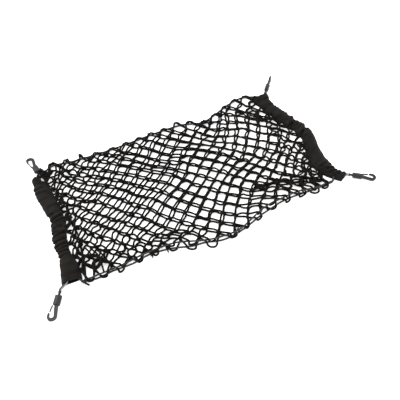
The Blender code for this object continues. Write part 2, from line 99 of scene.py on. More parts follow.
# t, x, y of the outer edge, height, share of the width where the cord runs
LEFT_SLEEVE = [(0.00, -310, -136, 11.0, 0.80), (0.07, -307, -116, 9.0, 0.62),
               (0.20, -300, -83, 8.6, 0.50), (0.35, -299, -41, 9.6, 0.50),
               (0.45, -293, -15, 8.8, 0.50), (0.56, -287, 15, 10.0, 0.48),
               (0.69, -290, 50, 9.2, 0.50), (0.82, -293, 85, 9.8, 0.50),
               (0.93, -289, 114, 9.0, 0.42), (0.975, -287, 127, 11.0, 0.37),
               (1.00, -280, 134, 10.0, 0.34)]
RIGHT_SLEEVE = [(0.00, 299, -150, 11.4, 0.76), (0.07, 292, -134, 9.4, 0.60),
                (0.14, 287, -113, 8.8, 0.50), (0.27, 288, -76, 9.6, 0.50),
                (0.37, 294, -49, 9.0, 0.50), (0.45, 301, -27, 9.8, 0.48),
                (0.52, 304, -8, 9.2, 0.50), (0.60, 300, 12, 9.0, 0.50),
                (0.69, 292, 38, 9.8, 0.50), (0.79, 280, 76, 9.2, 0.46),
                (0.90, 273, 104, 9.4, 0.44), (1.00, 276, 129, 12.6, 0.58)]
RIGHT_END_SLANT = (15.0, -11.0)

LAYER_RISE, MOUTH_RISE, SEAM_RISE = 7.3, 9.4, 2.9
# u, v, long, wide, turn_deg, lift of the upper layer's soft ridges
FOLDS = [(5.2, 1.5, 46, 15, 14, 4.0), (3.4, 1.1, 52, 16, 28, 4.5),
         (0.9, 3.2, 44, 15, 84, 4.0), (1.7, 7.8, 40, 16, 62, 3.0),
         (15.6, 5.3, 42, 15, 70, 4.0), (14.2, 7.9, 40, 16, 40, 3.5),
         (13.8, 4.6, 46, 16, -20, 3.0), (9.4, 8.9, 34, 13, 8, 2.5),
         (11.4, 2.0, 56, 18, 10, 2.5)]
# x, y, long, wide, turn_deg, pull: strands drawn together into a bundle
PINCHES = [(-139, -133, 36, 17, 8, 0.86), (-93, -130, 36, 17, 1, 0.88),
           (-88, -118, 36, 15, -25, 0.55), (-228, -106, 52, 20, -6, 0.36),
           (-264, -88, 56, 19, -111, 0.84), (-256, -10, 40, 16, -96, 0.55),
           (-262, 48, 40, 16, -92, 0.60), (-250, 92, 30, 15, -100, 0.50),
           (104, 112, 22, 18, -67, 0.70), (-192, 144, 50, 15, -8, 0.72),
           (99, -122, 36, 15, 35, 0.85), (168, -117, 62, 20, -22, 0.88),
           (238, -84, 42, 17, -108, 0.62), (236, 40, 62, 15, -103, 0.42),
           (172, -103, 30, 13, -28, 0.45), (-40, 112, 70, 14, 3, 0.35)]
# x, y, reach, turn_deg: the mesh lies turned a little here
SWIRLS = [(112, -24, 82, -14.0)]
# name, x, y, z, dx, dy, drop_deg, roll_deg
HOOKS = [("near_left", -323.5, -154.0, 6.7, -0.563, -0.826, 5.0, 180.0),
         ("near_right", 304.0, -160.8, 6.7, 0.826, -0.563, 5.0, 0.0),
         ("far_left", -269.3, 140.0, 6.7, -0.060, 0.998, 5.0, 0.0),
         ("far_right", 276.5, 138.4, 8.96, 0.690, 0.724, -2.6, -90.0)]
NUB_BACK = 8.0


# --------------------------------------------------------------- helpers
def hermite(rows, t):
    """Smooth curve through rows whose first column is the parameter; t may be
    an array.  Returns an array with the other columns last."""
    rows = np.asarray(rows, float)
    x, y = rows[:, 0], rows[:, 1:]
    slope = np.empty_like(y)
    slope[1:-1] = (y[2:] - y[:-2]) / (x[2:] - x[:-2])[:, None]
    slope[0] = (y[1] - y[0]) / (x[1] - x[0])
    slope[-1] = (y[-1] - y[-2]) / (x[-1] - x[-2])
    t = np.asarray(t, float)
    k = np.clip(np.searchsorted(x, t, side="left") - 1, 0, len(x) - 2)
    h = x[k + 1] - x[k]
    s = ((t - x[k]) / h)[..., None]
    h = h[..., None]
    return ((2 * s**3 - 3 * s**2 + 1) * y[k] + (s**3 - 2 * s**2 + s) * slope[k] * h
            + (3 * s**2 - 2 * s**3) * y[k + 1] + (s**3 - s**2) * slope[k + 1] * h)


def step(x):
    x = np.clip(x, 0.0, 1.0)
    return x * x * (3 - 2 * x)


def net_xy(u, v):
    u, v = np.broadcast_arrays(np.asarray(u, float), np.asarray(v, float))
    a, b = (u / NU)[..., None], (v / NV)[..., None]
    corners = ((1 - a) * (1 - b) * hermite(NEAR, 0.0) + a * (1 - b) * hermite(NEAR, NU)
               + (1 - a) * b * hermite(FAR, 0.0) + a * b * hermite(FAR, NU))
    return ((1 - b) * hermite(NEAR, u) + b * hermite(FAR, u)
            + (1 - a) * hermite(LEFT, v) + a * hermite(RIGHT, v) - corners)


def waves(x, y, seed, size, count=7):
    """Smooth seeded noise of about unit strength, size its length scale."""
    rng = np.random.default_rng(seed)
    out = np.zeros_like(np.asarray(x, float))
    for _ in range(count):
        ang = rng.uniform(0, 2 * math.pi)
        k = 2 * math.pi / (size * rng.uniform(0.7, 1.6))
        out += np.sin(k * (x * math.cos(ang) + y * math.sin(ang)) + rng.uniform(0, 6.28))
    return out / math.sqrt(count / 2)


def rise(u, v, xy):
    """Height of the upper layer's underside."""
    side = step(np.minimum(u, NU - u) / 1.5)
    mouth = step(np.minimum(u - 1.0, NU - 1.0 - u) / 2.5) * step((2.6 - v) / 2.6)
    z = SEAM_RISE + (LAYER_RISE - SEAM_RISE) * side + (MOUTH_RISE - LAYER_RISE) * mouth
    fade = step((np.minimum(u, NU - u) - 0.1) / 0.8) * step((v - 0.1) / 0.9)
    for fu, fv, long, wide, turn, lift in FOLDS:
        c = net_xy(fu, fv)
        t = math.radians(turn)
        dx, dy = xy[..., 0] - c[0], xy[..., 1] - c[1]
        along = (dx * math.cos(t) + dy * math.sin(t)) / long
        across = (-dx * math.sin(t) + dy * math.cos(t)) / wide
        z = z + lift * np.exp(-along**2 - across**2) * fade
    return z


def pinch(xy):
    out = np.array(xy, float)
    for cx, cy, reach, turn in SWIRLS:
        rel = out - np.array([cx, cy])
        t = math.radians(turn) * np.exp(-np.sum(rel**2, -1) / reach**2)
        c, s = np.cos(t), np.sin(t)
        out = np.array([cx, cy]) + np.stack([rel[..., 0] * c - rel[..., 1] * s, rel[..., 0] * s + rel[..., 1] * c], -1)
    for cx, cy, long, wide, turn, pull in PINCHES:
        t = math.radians(turn)
        n = np.array([-math.sin(t), math.cos(t)])
        d = np.array([math.cos(t), math.sin(t)])
        rel = out - np.array([cx, cy])
        along, across = rel @ d, rel @ n
        w = np.exp(-(along / long) ** 2) * np.exp(-0.5 * (across / wide) ** 2)
        out = out - (pull * across * w)[..., None] * n
    return out


class Meshes:
    """Gathers closed tubes and lofts into one mesh, with a UV map."""

    def __init__(self):
        self.verts, self.faces, self.uvs = [], [], []
        self.count = 0

    def add(self, verts, faces, uvs):
        self.verts.append(verts)
        self.faces += [tuple(int(i) + self.count for i in f) for f in faces]
        self.uvs += uvs
        self.count += len(verts)

    def tube(self, path, radius, sides=8, flat=1.0, up=(0, 0, 1), phase=0.0, cap=0.55):
        """Round tube along a path (metres); radius may vary; ends rounded."""
        path = np.asarray(path, float)
        n = len(path)
        radius = np.broadcast_to(np.asarray(radius, float), (n,)).copy()
        run = np.gradient(path, axis=0)
        run /= np.linalg.norm(run, axis=1)[:, None] + 1e-12
        up = np.asarray(up, float)
        side = np.cross(run, up)
        norm = np.linalg.norm(side, axis=1)[:, None]
        side = np.where(norm > 1e-6, side / np.maximum(norm, 1e-9), np.array([1.0, 0, 0]))
        top = np.cross(side, run)
        ends = []
        for end, sign in ((0, -1.0), (n - 1, 1.0)):
            ends.append((path[end] + sign * run[end] * radius[end] * cap, radius[end] * 0.55))
        path = np.vstack([ends[0][0], path, ends[1][0]])
        radius = np.r_[ends[0][1], radius, ends[1][1]]
        side = np.vstack([side[0], side, side[-1]])
        top = np.vstack([top[0], top, top[-1]])
        n += 2
        ang = 2 * math.pi * np.arange(sides) / sides + phase
        ring = (path[:, None, :]
                + radius[:, None, None] * (np.cos(ang)[None, :, None] * side[:, None, :]
                                           + flat * np.sin(ang)[None, :, None] * top[:, None, :]))
        verts = ring.reshape(-1, 3)
        dist = np.r_[0, np.cumsum(np.linalg.norm(np.diff(path, axis=0), axis=1))]
        faces, uvs = [], []
        for k in range(n - 1):
            for j in range(sides):
                a, b = k * sides + j, k * sides + (j + 1) % sides
                faces.append((a, b, b + sides, a + sides))
                u0, u1 = j / sides, (j + 1) / sides
                uvs += [(u0, dist[k]), (u1, dist[k]), (u1, dist[k + 1]), (u0, dist[k + 1])]
        faces.append(tuple(range(sides - 1, -1, -1)))
        uvs += [(j / sides, dist[0]) for j in range(sides - 1, -1, -1)]
        faces.append(tuple((n - 1) * sides + j for j in range(sides)))
        uvs += [(j / sides, dist[-1]) for j in range(sides)]
        self.add(verts, faces, uvs)

    def object(self, name, smooth=True):
        mesh = bpy.data.meshes.new(name)
        mesh.from_pydata(np.vstack(self.verts).tolist(), [], self.faces)
        layer = mesh.uv_layers.new(name="run")
        layer.data.foreach_set("uv", np.asarray(self.uvs, float).ravel())
        mesh.polygons.foreach_set("use_smooth", [smooth] * len(mesh.polygons))
        bm = bmesh.new()
        bm.from_mesh(mesh)
        bmesh.ops.recalc_face_normals(bm, faces=bm.faces)
        bm.to_mesh(mesh)
        bm.free()
        mesh.update()
        obj = bpy.data.objects.new(name, mesh)
        bpy.context.scene.collection.objects.link(obj)
        return obj


def smooth_points(points, per=6):
    """Catmull-Rom through points; returns the finer path."""
    p = np.asarray(points, float)
    ext = np.vstack([2 * p[0] - p[1], p, 2 * p[-1] - p[-2]])
    out = []
    for k in range(len(p) - 1):
        a, b, c, d = ext[k], ext[k + 1], ext[k + 2], ext[k + 3]
        for s in np.arange(per) / per:
            out.append(0.5 * (2 * b + (c - a) * s + (2 * a - 5 * b + 4 * c - d) * s**2
                              + (3 * b - a - 3 * c + d) * s**3))
    out.append(p[-1])
    return np.array(out)


def even_path(path, spacing):
    """The path resampled at an even spacing."""
    path = np.asarray(path, float)
    s = np.r_[0, np.cumsum(np.linalg.norm(np.diff(path, axis=0), axis=1))]
    n = max(2, int(round(s[-1] / spacing)) + 1)
    t = np.linspace(0, s[-1], n)
    return np.stack([np.interp(t, s, path[:, k]) for k in range(3)], -1)


# --------------------------------------------------------------- materials
def new_material(name):
    mat = bpy.data.materials.new(name)
    mat.use_nodes = True
    nodes, links = mat.node_tree.nodes, mat.node_tree.links
    return mat, nodes, links, nodes["Principled BSDF"]


def math_node(nodes, links, op, a, b=None, c=None):
    node = nodes.new("ShaderNodeMath")
    node.operation = op
    for k, value in enumerate((a, b, c)):
        if value is None:
            continue
        if isinstance(value, (int, float)):
            node.inputs[k].default_value = value
        else:
            links.new(value, node.inputs[k])
    return node.outputs[0]


def mix_color(nodes, links, fac, a, b):
    node = nodes.new("ShaderNodeMix")
    node.data_type = "RGBA"
    if isinstance(fac, (int, float)):
        node.inputs[0].default_value = fac
    else:
        links.new(fac, node.inputs[0])
    for socket, value in ((node.inputs[6], a), (node.inputs[7], b)):
        if isinstance(value, tuple):
            socket.default_value = (*value, 1.0)
        else:
            links.new(value, socket)
    return node.outputs[2]


def noise(nodes, links, scale, detail=3.0, rough=0.55, coord=None):
    tex = nodes.new("ShaderNodeTexNoise")
    tex.inputs["Scale"].default_value = scale
    tex.inputs["Detail"].default_value = detail
    tex.inputs["Roughness"].default_value = rough
    if coord is None:
        coord = nodes.new("ShaderNodeTexCoord").outputs["Object"]
    links.new(coord, tex.inputs["Vector"])
    return tex.outputs["Fac"]


def bump(nodes, links, bsdf, height, strength, distance):
    node = nodes.new("ShaderNodeBump")
    node.inputs["Strength"].default_value = strength
    node.inputs["Distance"].default_value = distance
    links.new(height, node.inputs["Height"])
    links.new(node.outputs["Normal"], bsdf.inputs["Normal"])
    return node


def braid_height(nodes, links, turns, pitch):
    """Two crossing sets of yarns round a cord, from its UV run."""
    uv = nodes.new("ShaderNodeUVMap")
    uv.uv_map = "run"
    sep = nodes.new("ShaderNodeSeparateXYZ")
    links.new(uv.outputs["UV"], sep.inputs["Vector"])
    around = math_node(nodes, links, "MULTIPLY", sep.outputs["X"], 2 * math.pi * turns)
    along = math_node(nodes, links, "MULTIPLY", sep.outputs["Y"], 2 * math.pi / pitch)
    one = math_node(nodes, links, "SINE", math_node(nodes, links, "ADD", around, along))
    two = math_node(nodes, links, "SINE", math_node(nodes, links, "SUBTRACT", around, along))
    return math_node(nodes, links, "MAXIMUM", one, two), sep


def cord_material(name, dark, light, rough, turns, pitch, strength, sheen=0.25, painted_highlight=None,
                  spec=0.25):
    mat, nodes, links, bsdf = new_material(name)
    height, sep = braid_height(nodes, links, turns, pitch)
    fac = math_node(nodes, links, "MULTIPLY_ADD", height, 0.5, 0.5)
    patch = noise(nodes, links, 55.0, 3.0)
    fuzz = noise(nodes, links, 900.0, 2.0)
    fac2 = math_node(nodes, links, "MULTIPLY", fac, math_node(nodes, links, "MULTIPLY_ADD", patch, 0.9, 0.25))
    color = mix_color(nodes, links, fac2, dark, light)
    # painted highlight: a pale stripe along one side of the cord, standing in for the light falling on that side
    if painted_highlight is not None:
        centre, width, tone, twist = painted_highlight
        along = math_node(nodes, links, "MULTIPLY_ADD", sep.outputs["Y"], twist, sep.outputs["X"])
        off = math_node(nodes, links, "ABSOLUTE", math_node(
            nodes, links, "SUBTRACT", math_node(nodes, links, "FRACT", math_node(
                nodes, links, "ADD", along, 0.5 - centre)), 0.5))
        mask = math_node(nodes, links, "LESS_THAN", off, width)
        highlight_mask = math_node(nodes, links, "MULTIPLY", mask, math_node(nodes, links, "MULTIPLY_ADD", fac, 0.35, 0.65))
        color = mix_color(nodes, links, highlight_mask, color, tone)
    links.new(color, bsdf.inputs["Base Color"])
    rough_out = math_node(nodes, links, "MULTIPLY_ADD", fuzz, 0.16, rough - 0.08)
    links.new(rough_out, bsdf.inputs["Roughness"])
    bsdf.inputs["Sheen Weight"].default_value = sheen
    bsdf.inputs["Sheen Roughness"].default_value = 0.5
    bsdf.inputs["Specular IOR Level"].default_value = spec
    total = math_node(nodes, links, "MULTIPLY_ADD", fuzz, 0.4, height)
    bump(nodes, links, bsdf, total, strength, 0.0003)
    return mat


def cloth_material():
    """Black woven polyester, slightly brown, with a fine plain weave; painted shade darkens it in its creases and
    inside its bore.
    """
    mat, nodes, links, bsdf = new_material("sleeve_cloth")
    uv = nodes.new("ShaderNodeUVMap")
    uv.uv_map = "run"
    sep = nodes.new("ShaderNodeSeparateXYZ")
    links.new(uv.outputs["UV"], sep.inputs["Vector"])
    warp = math_node(nodes, links, "SINE", math_node(nodes, links, "MULTIPLY", sep.outputs["X"], 2 * math.pi / 0.0009))
    weft = math_node(nodes, links, "SINE", math_node(nodes, links, "MULTIPLY", sep.outputs["Y"], 2 * math.pi / 0.0009))
    weave = math_node(nodes, links, "MULTIPLY", warp, weft)
    rib = math_node(nodes, links, "MULTIPLY_ADD", warp, 0.25, weave)
    patch = noise(nodes, links, 46.0, 3.0)
    patch = math_node(nodes, links, "MULTIPLY_ADD", patch, 2.2, -0.65)
    fine = noise(nodes, links, 700.0, 2.0)
    fac = math_node(nodes, links, "MULTIPLY_ADD", weave, 0.22, patch)
    fac = math_node(nodes, links, "MINIMUM", math_node(nodes, links, "MAXIMUM", fac, 0.0), 1.0)
    color = mix_color(nodes, links, fac, (0.0030, 0.0023, 0.0018), (0.0165, 0.0134, 0.0108))
    # painted shade: the colour goes darker where the attribute marks a crease, and inside the bore
    fold = nodes.new("ShaderNodeAttribute")
    fold.attribute_name = "painted_shade"
    crease_shade_mix = math_node(nodes, links, "MULTIPLY_ADD", fold.outputs["Fac"], 0.80, 0.20)
    crease_shade_mix = math_node(nodes, links, "MINIMUM", math_node(nodes, links, "MAXIMUM", crease_shade_mix, 0.0), 1.0)
    color = mix_color(nodes, links, crease_shade_mix, color, (0.0012, 0.0010, 0.0009))
    links.new(color, bsdf.inputs["Base Color"])
    links.new(math_node(nodes, links, "MULTIPLY_ADD", fine, 0.2, 0.72), bsdf.inputs["Roughness"])
    bsdf.inputs["Sheen Weight"].default_value = 0.05
    bsdf.inputs["Sheen Roughness"].default_value = 0.45
    bsdf.inputs["Specular IOR Level"].default_value = 0.11
    total = math_node(nodes, links, "MULTIPLY_ADD", fine, 0.5, rib)
    bump(nodes, links, bsdf, total, 0.35, 0.00025)
    return mat


def plastic_material():
    """Moulded dark grey plastic, satin, with scuffs and a fine spark texture."""
    mat, nodes, links, bsdf = new_material("hook_plastic")
    patch = noise(nodes, links, 120.0, 4.0)
    fine = noise(nodes, links, 2600.0, 2.0)
    scuff = noise(nodes, links, 420.0, 6.0, 0.7)
    color = mix_color(nodes, links, patch, (0.0095, 0.0091, 0.0093), (0.0220, 0.0210, 0.0213))
    mask = math_node(nodes, links, "GREATER_THAN", scuff, 0.66)
    color = mix_color(nodes, links, math_node(nodes, links, "MULTIPLY", mask, 0.35), color, (0.060, 0.058, 0.058))
    links.new(color, bsdf.inputs["Base Color"])
    links.new(math_node(nodes, links, "MULTIPLY_ADD", patch, 0.16, 0.24), bsdf.inputs["Roughness"])
    bsdf.inputs["Specular IOR Level"].default_value = 0.30
    bump(nodes, links, bsdf, math_node(nodes, links, "MULTIPLY_ADD", scuff, 0.5, fine), 0.18, 0.0001)
    return mat


MESH_CORD = cord_material("mesh_cord", (0.0020, 0.0017, 0.0014), (0.0078, 0.0066, 0.0057),
                          0.82, 2.0, 0.0046, 0.55, 0.02, spec=0.08)
EDGE_CORD = cord_material("edge_elastic", (0.0042, 0.0040, 0.0040), (0.0230, 0.0226, 0.0226),
                          0.42, 4.0, 0.0052, 0.45, 0.04, spec=0.30)
# each end elastic has a painted highlight, a pale stripe on the side where light falls, set at a different place
# around the cord on each side
END_CORD = {side: cord_material("end_elastic_" + side, (0.020, 0.020, 0.0202), (0.085, 0.084, 0.082),
                                0.5, 5.0, 0.0060, 0.5, 0.05,
                                painted_highlight=(centre, width, (0.34, 0.336, 0.325), 1.5), spec=0.20)
            for side, centre, width in (("left", 0.05, 0.12), ("right", 0.24, 0.17))}
KNOT_CORD = cord_material("knot_cord", (0.0035, 0.0032, 0.0030), (0.0150, 0.0140, 0.0130),
                          0.7, 4.0, 0.0050, 0.5, 0.05, spec=0.2)
THREAD = cord_material("seam_thread", (0.0040, 0.0036, 0.0034), (0.0120, 0.0110, 0.0104),
                       0.6, 1.0, 0.0008, 0.4, 0.05, spec=0.2)
CLOTH = cloth_material()
PLASTIC = plastic_material()


def finish_piece(obj, material, replaces=(), body=ROOT):
    obj.data.materials.clear()
    obj.data.materials.append(material)
    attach(obj, body)
    if replaces:
        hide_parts(*replaces)


# --------------------------------------------------------------- the mesh
# how far each loop reaches past its edge's elastic, by whole u (from 1)
NEAR_REACH = [3, 3.2, 7.2, 4, 5.2, 3.4, 8, 8.8, 2.6, 3, 4.4, 3.2, 4.6, 5, 7.6, 4.7]
FOLD_REACH = [9.5, 14.0, 12.5, 5.0, 3.8, 6.4, 4.4, 7.0, 4.6, 11.0, 13.0, 3.0, 1.8, 2.2, 3.2, 5.0]
STRAND_R = 1.96                   # mm
SIDE = 23.6                       # a cell's side as knitted, mm
I_MAX, J_MAX = 34, 20


def layer_nodes(layer):
    """Joint positions of one layer, mm: {(i, j): (x, y, z)}."""
    i, j = np.meshgrid(np.arange(I_MAX + 1), np.arange(J_MAX + 1), indexing="ij")
    u, v = i / 2.0, j / 2.0
    keep = (i + j) % 2 == 0
    xy = net_xy(u, v)
    seed = 11 if layer == "upper" else 37
    rng = np.random.default_rng(seed)
    edge = np.minimum(np.minimum(u, NU - u) / 1.2, np.minimum(v, NV - v) / 1.0)
    free = step(edge)
    xy = pinch(xy) * free[..., None] + xy * (1 - free[..., None])
    x, y = xy[..., 0], xy[..., 1]
    shift = 3.2 * np.stack([waves(x, y, 12, 110.0), waves(x, y, 13, 110.0)], -1)
    shift += np.random.default_rng(14).normal(0, 1.1, shift.shape)
    # the layers lie a little apart, not by the same way everywhere: their steep
    # strands part at the left and at the far right, the slanting ones between
    middle = step((x + 70.0 + 0.25 * y) / 50.0) * step((50.0 - 0.43 * np.maximum(x - 40.0, 0.0) - y) / 40.0)
    right_up = step((x - 20.0) / 60.0) * (1 - middle)
    part = np.stack([3.6 + 6.0 * right_up - 4.0 * middle, -3.2 + 10.8 * right_up + 5.2 * middle], -1)
    part *= (0.80 + 0.20 * np.clip(waves(x, y, 73, 150.0), -1, 1))[..., None]
    if layer == "lower":
        shift = shift + part * (1 - 0.4 * right_up)[..., None]
        shift += 0.6 * np.stack([waves(x, y, 71, 160.0), waves(x, y, 72, 160.0)], -1)
    else:
        shift = shift - part * (0.4 * right_up)[..., None]
    shift += rng.normal(0, 0.55, shift.shape)
    xy = xy + shift * free[..., None]
    # joints keep within a knitted side's length of each other
    pairs = []
    for a in range(I_MAX + 1):
        for b in range(J_MAX):
            if (a + b) % 2:
                continue
            for da in (-1, 1):
                if 0 <= a + da <= I_MAX:
                    pairs.append((a, b, a + da, b + 1))
    pairs = np.array(pairs)
    fixed = ((i == 0) | (i == I_MAX) | (j == 0) | (j == J_MAX))
    w = np.where(fixed, 0.0, 1.0)
    pa, pb = (pairs[:, 0], pairs[:, 1]), (pairs[:, 2], pairs[:, 3])
    want = SIDE * (1 + rng.normal(0, 0.035, len(pairs)))
    for _ in range(60):
        d = xy[pb] - xy[pa]
        dist = np.linalg.norm(d, axis=1)
        over = np.where(dist > want, dist - want, np.where(dist < 0.16 * want, dist - 0.16 * want, 0.0))
        ws = w[pa] + w[pb]
        push = (0.5 * over / np.maximum(dist, 1e-6) / np.maximum(ws, 1e-6))[:, None] * d
        move = np.zeros_like(xy)
        hits = np.zeros(xy.shape[:2])
        np.add.at(move, pa, push * w[pa][:, None])
        np.add.at(move, pb, -push * w[pb][:, None])
        np.add.at(hits, pa, 1)
        np.add.at(hits, pb, 1)
        xy = xy + move / np.maximum(hits, 1)[..., None] * 2.0
    if layer == "upper":
        z = rise(u, v, xy) + 1.3
    else:
        z = np.full(u.shape, 1.55) + 0.25 * waves(x, y, 5, 60.0) ** 2 * free
    z = z + rng.uniform(-0.15, 0.35, z.shape)
    return xy, z, keep


def edge_elastic(which, u):
    """Centre of an edge elastic at u, mm."""
    u = np.asarray(u, float)
    if which == "fold":
        xy = hermite(FAR, u)
        z = np.full(u.shape, 3.6)
    else:
        xy = hermite(NEAR, u)
        span = step(np.minimum(u - 0.6, 16.9 - u) / 1.6)
        apart = (2.4 + 1.9 * np.sin(u * 1.13 + 0.7) + 1.1 * np.sin(u * 2.31)) * span
        xy = xy + np.stack([0 * u, apart * (-0.75 if which == "lower" else 0.55)], -1)
        if which == "lower":
            z = np.full(u.shape, 2.9)
        else:
            lift = step(np.minimum(u - 0.68, 16.80 - u) / 3.0)
            z = 6.9 + (MOUTH_RISE + 1.25 - 6.9) * lift
    return np.concatenate([xy, z[..., None]], -1)


def strand_path(points, axes, rng, sign):
    """A strand through its joints.  In a joint it runs along the joint's axis
    for a little; between two of them it bows by its slack and its curl."""
    pts = np.asarray(points, float)
    out = []
    for k in range(len(pts)):
        ax = axes[k] * rng.uniform(0.6, 1.6)
        out += [pts[k] - ax, pts[k] + ax]
        if k == len(pts) - 1:
            break
        a, b = pts[k] + ax, pts[k + 1]
        d = b - a
        dist = np.linalg.norm(d)
        side = np.array([-d[1], d[0], 0.0]) / max(dist, 1e-6)
        spare = math.sqrt(max(0.0, SIDE**2 - min(np.linalg.norm(pts[k + 1] - pts[k]), SIDE) ** 2))
        curl = 0.5 + 1.1 * float(step((abs(a[0] + 20) - 40) / 170)) + 0.5 * float(step((abs(a[1]) - 60) / 60))
        bow = curl * (sign * abs(rng.normal(0.7, 0.6)) if rng.random() < 0.7 else rng.normal(0, 1.0))
        bow += min(4.6, 0.23 * spare) * rng.choice([-1.0, 1.0]) * rng.uniform(0.2, 1.0)
        twist = rng.normal(0, 0.5) * curl
        lift = min(4.0, 0.18 * spare) * rng.uniform(0.0, 1.0)
        out += [a + d * 0.34 + side * (bow + twist) + np.array([0, 0, lift]),
                a + d * 0.68 + side * (bow - twist) + np.array([0, 0, lift])]
    return np.array(out)


def radius_along(path, joints, base):
    """Thicker where the strand is knitted into a joint."""
    d = np.min(np.linalg.norm(path[:, None, :2] - joints[None, :, :2], axis=2), axis=1)
    return base * (1.0 + 0.20 * np.exp(-(d / 3.0) ** 2))


def strands(layer, nodes):
    xy, z, keep = nodes
    rng = np.random.default_rng(5 if layer == "upper" else 6)
    out = Meshes()
    pos = np.concatenate([xy, z[..., None]], -1)
    for family in (1, -1):
        for start in range(-J_MAX, I_MAX + J_MAX + 1):
            line = []
            for j in range(1, J_MAX):
                i = start + family * j
                if 0 <= i <= I_MAX and (i + j) % 2 == 0:
                    line.append((i, j))
            if len(line) < 2:
                continue
            joints = np.array([pos[a] for a in line])
            joints = joints + np.array([0, 0, 0.35 * family])
            axes = []
            for (i, j) in line:
                up_to = pos[min(i + 1, I_MAX), j + 1] + pos[max(i - 1, 0), j + 1]
                down_to = pos[min(i + 1, I_MAX), j - 1] + pos[max(i - 1, 0), j - 1]
                axis = (up_to - down_to) * np.array([1, 1, 0.0])
                axes.append(axis / max(np.linalg.norm(axis), 1e-6))
            path = strand_path(joints, axes, rng, (1.0 if layer == "upper" else -1.0) * family)
            # run on into the sleeve
            if line[0][0] in (0, I_MAX):
                d = joints[0] - joints[1]
                d = d / np.linalg.norm(d)
                path = np.vstack([joints[0] + d * 7.0 + np.array([0, 0, 0.3]), path[1:]])
            if line[-1][0] in (0, I_MAX):
                d = joints[-1] - joints[-2]
                d = d / np.linalg.norm(d)
                path = np.vstack([path[:-1], joints[-1] + d * 7.0 + np.array([0, 0, 0.3])])
            path = smooth_points(path, 3)
            path[:, 2] = np.maximum(path[:, 2], STRAND_R * 1.02)
            r = radius_along(path, joints, STRAND_R)
            out.tube(mm(path), r * 0.001, sides=8, phase=rng.uniform(0, 1))
    # loops round the open edge's elastic
    for i in range(2, I_MAX, 2):
        a, b = pos[i - 1, 1], pos[i + 1, 1]
        u = i / 2.0 + rng.normal(0, 0.05)
        here = edge_elastic(layer, u)
        ahead = edge_elastic(layer, u + 0.05) - edge_elastic(layer, u - 0.05)
        t = ahead / np.linalg.norm(ahead)
        n = np.array([t[1], -t[0], 0.0])            # outwards
        half = rng.uniform(4.4, 8.2)
        half = {14: 9.5, 16: 10.5, 30: 9.0}.get(i, half) if layer == "lower" else half
        reach = NEAR_REACH[i // 2 - 1] * rng.uniform(0.85, 1.15) if layer == "lower" else rng.uniform(2.0, 5.6)
        skew = rng.normal(0, 2.2)
        over, under = (a, b) if rng.random() < 0.5 else (b, a)
        sgn = 1.0 if over is a else -1.0
        tip_z = max(STRAND_R, here[2] - rng.uniform(1.5, 4.0)) - here[2]
        pts = np.array([
            over,
            0.55 * over + 0.45 * (here - t * sgn * half) + np.array([0, 0, 1.4]),
            here - t * sgn * half - n * 0.8 + np.array([0, 0, 3.3]),
            here - t * sgn * (half * 0.86) + n * reach * 0.55 + np.array([0, 0, 1.3]),
            here - t * (sgn * half * 0.40 - skew) + n * reach * 0.97 + np.array([0, 0, tip_z * 0.6]),
            here + t * (sgn * half * 0.40 + skew) + n * reach + np.array([0, 0, tip_z]),
            here + t * sgn * half * 0.90 + n * reach * 0.45 + np.array([0, 0, -2.0]),
            here + t * sgn * half - n * 1.6 + np.array([0, 0, -3.0]),
            0.55 * under + 0.45 * (here + t * sgn * half) + np.array([0, 0, -0.9]),
            under])
        path = smooth_points(pts, 5)
        path[:, 2] = np.maximum(path[:, 2], STRAND_R)
        r = radius_along(path, np.array([a, b]), STRAND_R)
        out.tube(mm(path), r * 0.001, sides=8)
    return out, pos


def fold_loops(out, pos_up, pos_low):
    """At the folded edge each strand goes over the elastic and back under it."""
    rng = np.random.default_rng(8)
    for i in range(2, I_MAX, 2):
        for way in (-1, 1):
            a = pos_up[i + way, J_MAX - 1]
            b = pos_low[i - way, J_MAX - 1]
            u = i / 2.0 + rng.normal(0, 0.04)
            here = edge_elastic("fold", u)
            ahead = edge_elastic("fold", u + 0.05) - edge_elastic("fold", u - 0.05)
            t = ahead / np.linalg.norm(ahead)
            n = np.array([-t[1], t[0], 0.0])
            half = 8.6 if i in (20, 22) else rng.uniform(3.2, 7.4)
            reach = FOLD_REACH[i // 2 - 1] * rng.uniform(0.45, 1.1)
            pts = np.array([
                a,
                0.5 * (a + here + t * way * half) + np.array([0, 0, 1.6]) + n * 1.0,
                here + t * way * half + np.array([0, 0, 3.2]) - n * 0.5,
                here + t * way * half * 0.5 + n * reach + np.array([0, 0, 1.4]),
                here - t * way * half * 0.2 + n * (reach + 0.5) + np.array([0, 0, -0.8]),
                here - t * way * half * 0.9 + n * 0.6 + np.array([0, 0, -2.1]),
                0.5 * (b + here - t * way * half) + np.array([0, 0, -0.6]),
                b])
            path = smooth_points(pts, 5)
            path[:, 2] = np.maximum(path[:, 2], STRAND_R)
            r = radius_along(path, np.array([a, b]), STRAND_R)
            out.tube(mm(path), r * 0.001, sides=8)


def tie(out, x, y, z, turn_deg, tail=0.0, seed=0, size=1.0):
    """Mesh cord tied round an edge elastic: a turn and a half, then cut ends."""
    rng = np.random.default_rng(seed)
    t = math.radians(turn_deg)
    along, away = np.array([math.cos(t), math.sin(t), 0]), np.array([math.sin(t), -math.cos(t), 0])
    up = np.array([0, 0, 1.0])
    c = np.array([x, y, z])
    ring = []
    for k in range(28):
        a = 2 * math.pi * 1.6 * k / 27
        ring.append(c + size * (2.7 * math.cos(a) * away + 2.5 * math.sin(a) * up + (k / 27 - 0.5) * 4.2 * along))
    path = smooth_points(ring, 2)
    path[:, 2] = np.maximum(path[:, 2], 1.3)
    out.tube(mm(path), 0.00135, sides=8, up=along)
    if tail:
        end = [c + 1.0 * away, c + away * (0.5 * tail) + along * rng.normal(0, 0.8) - up * 0.6,
               c + away * tail + along * rng.normal(0, 1.6) - up * max(0.0, z - 1.6)]
        path = smooth_points(end, 6)
        path[:, 2] = np.maximum(path[:, 2], 1.3)
        out.tube(mm(path), 0.00125, sides=8)


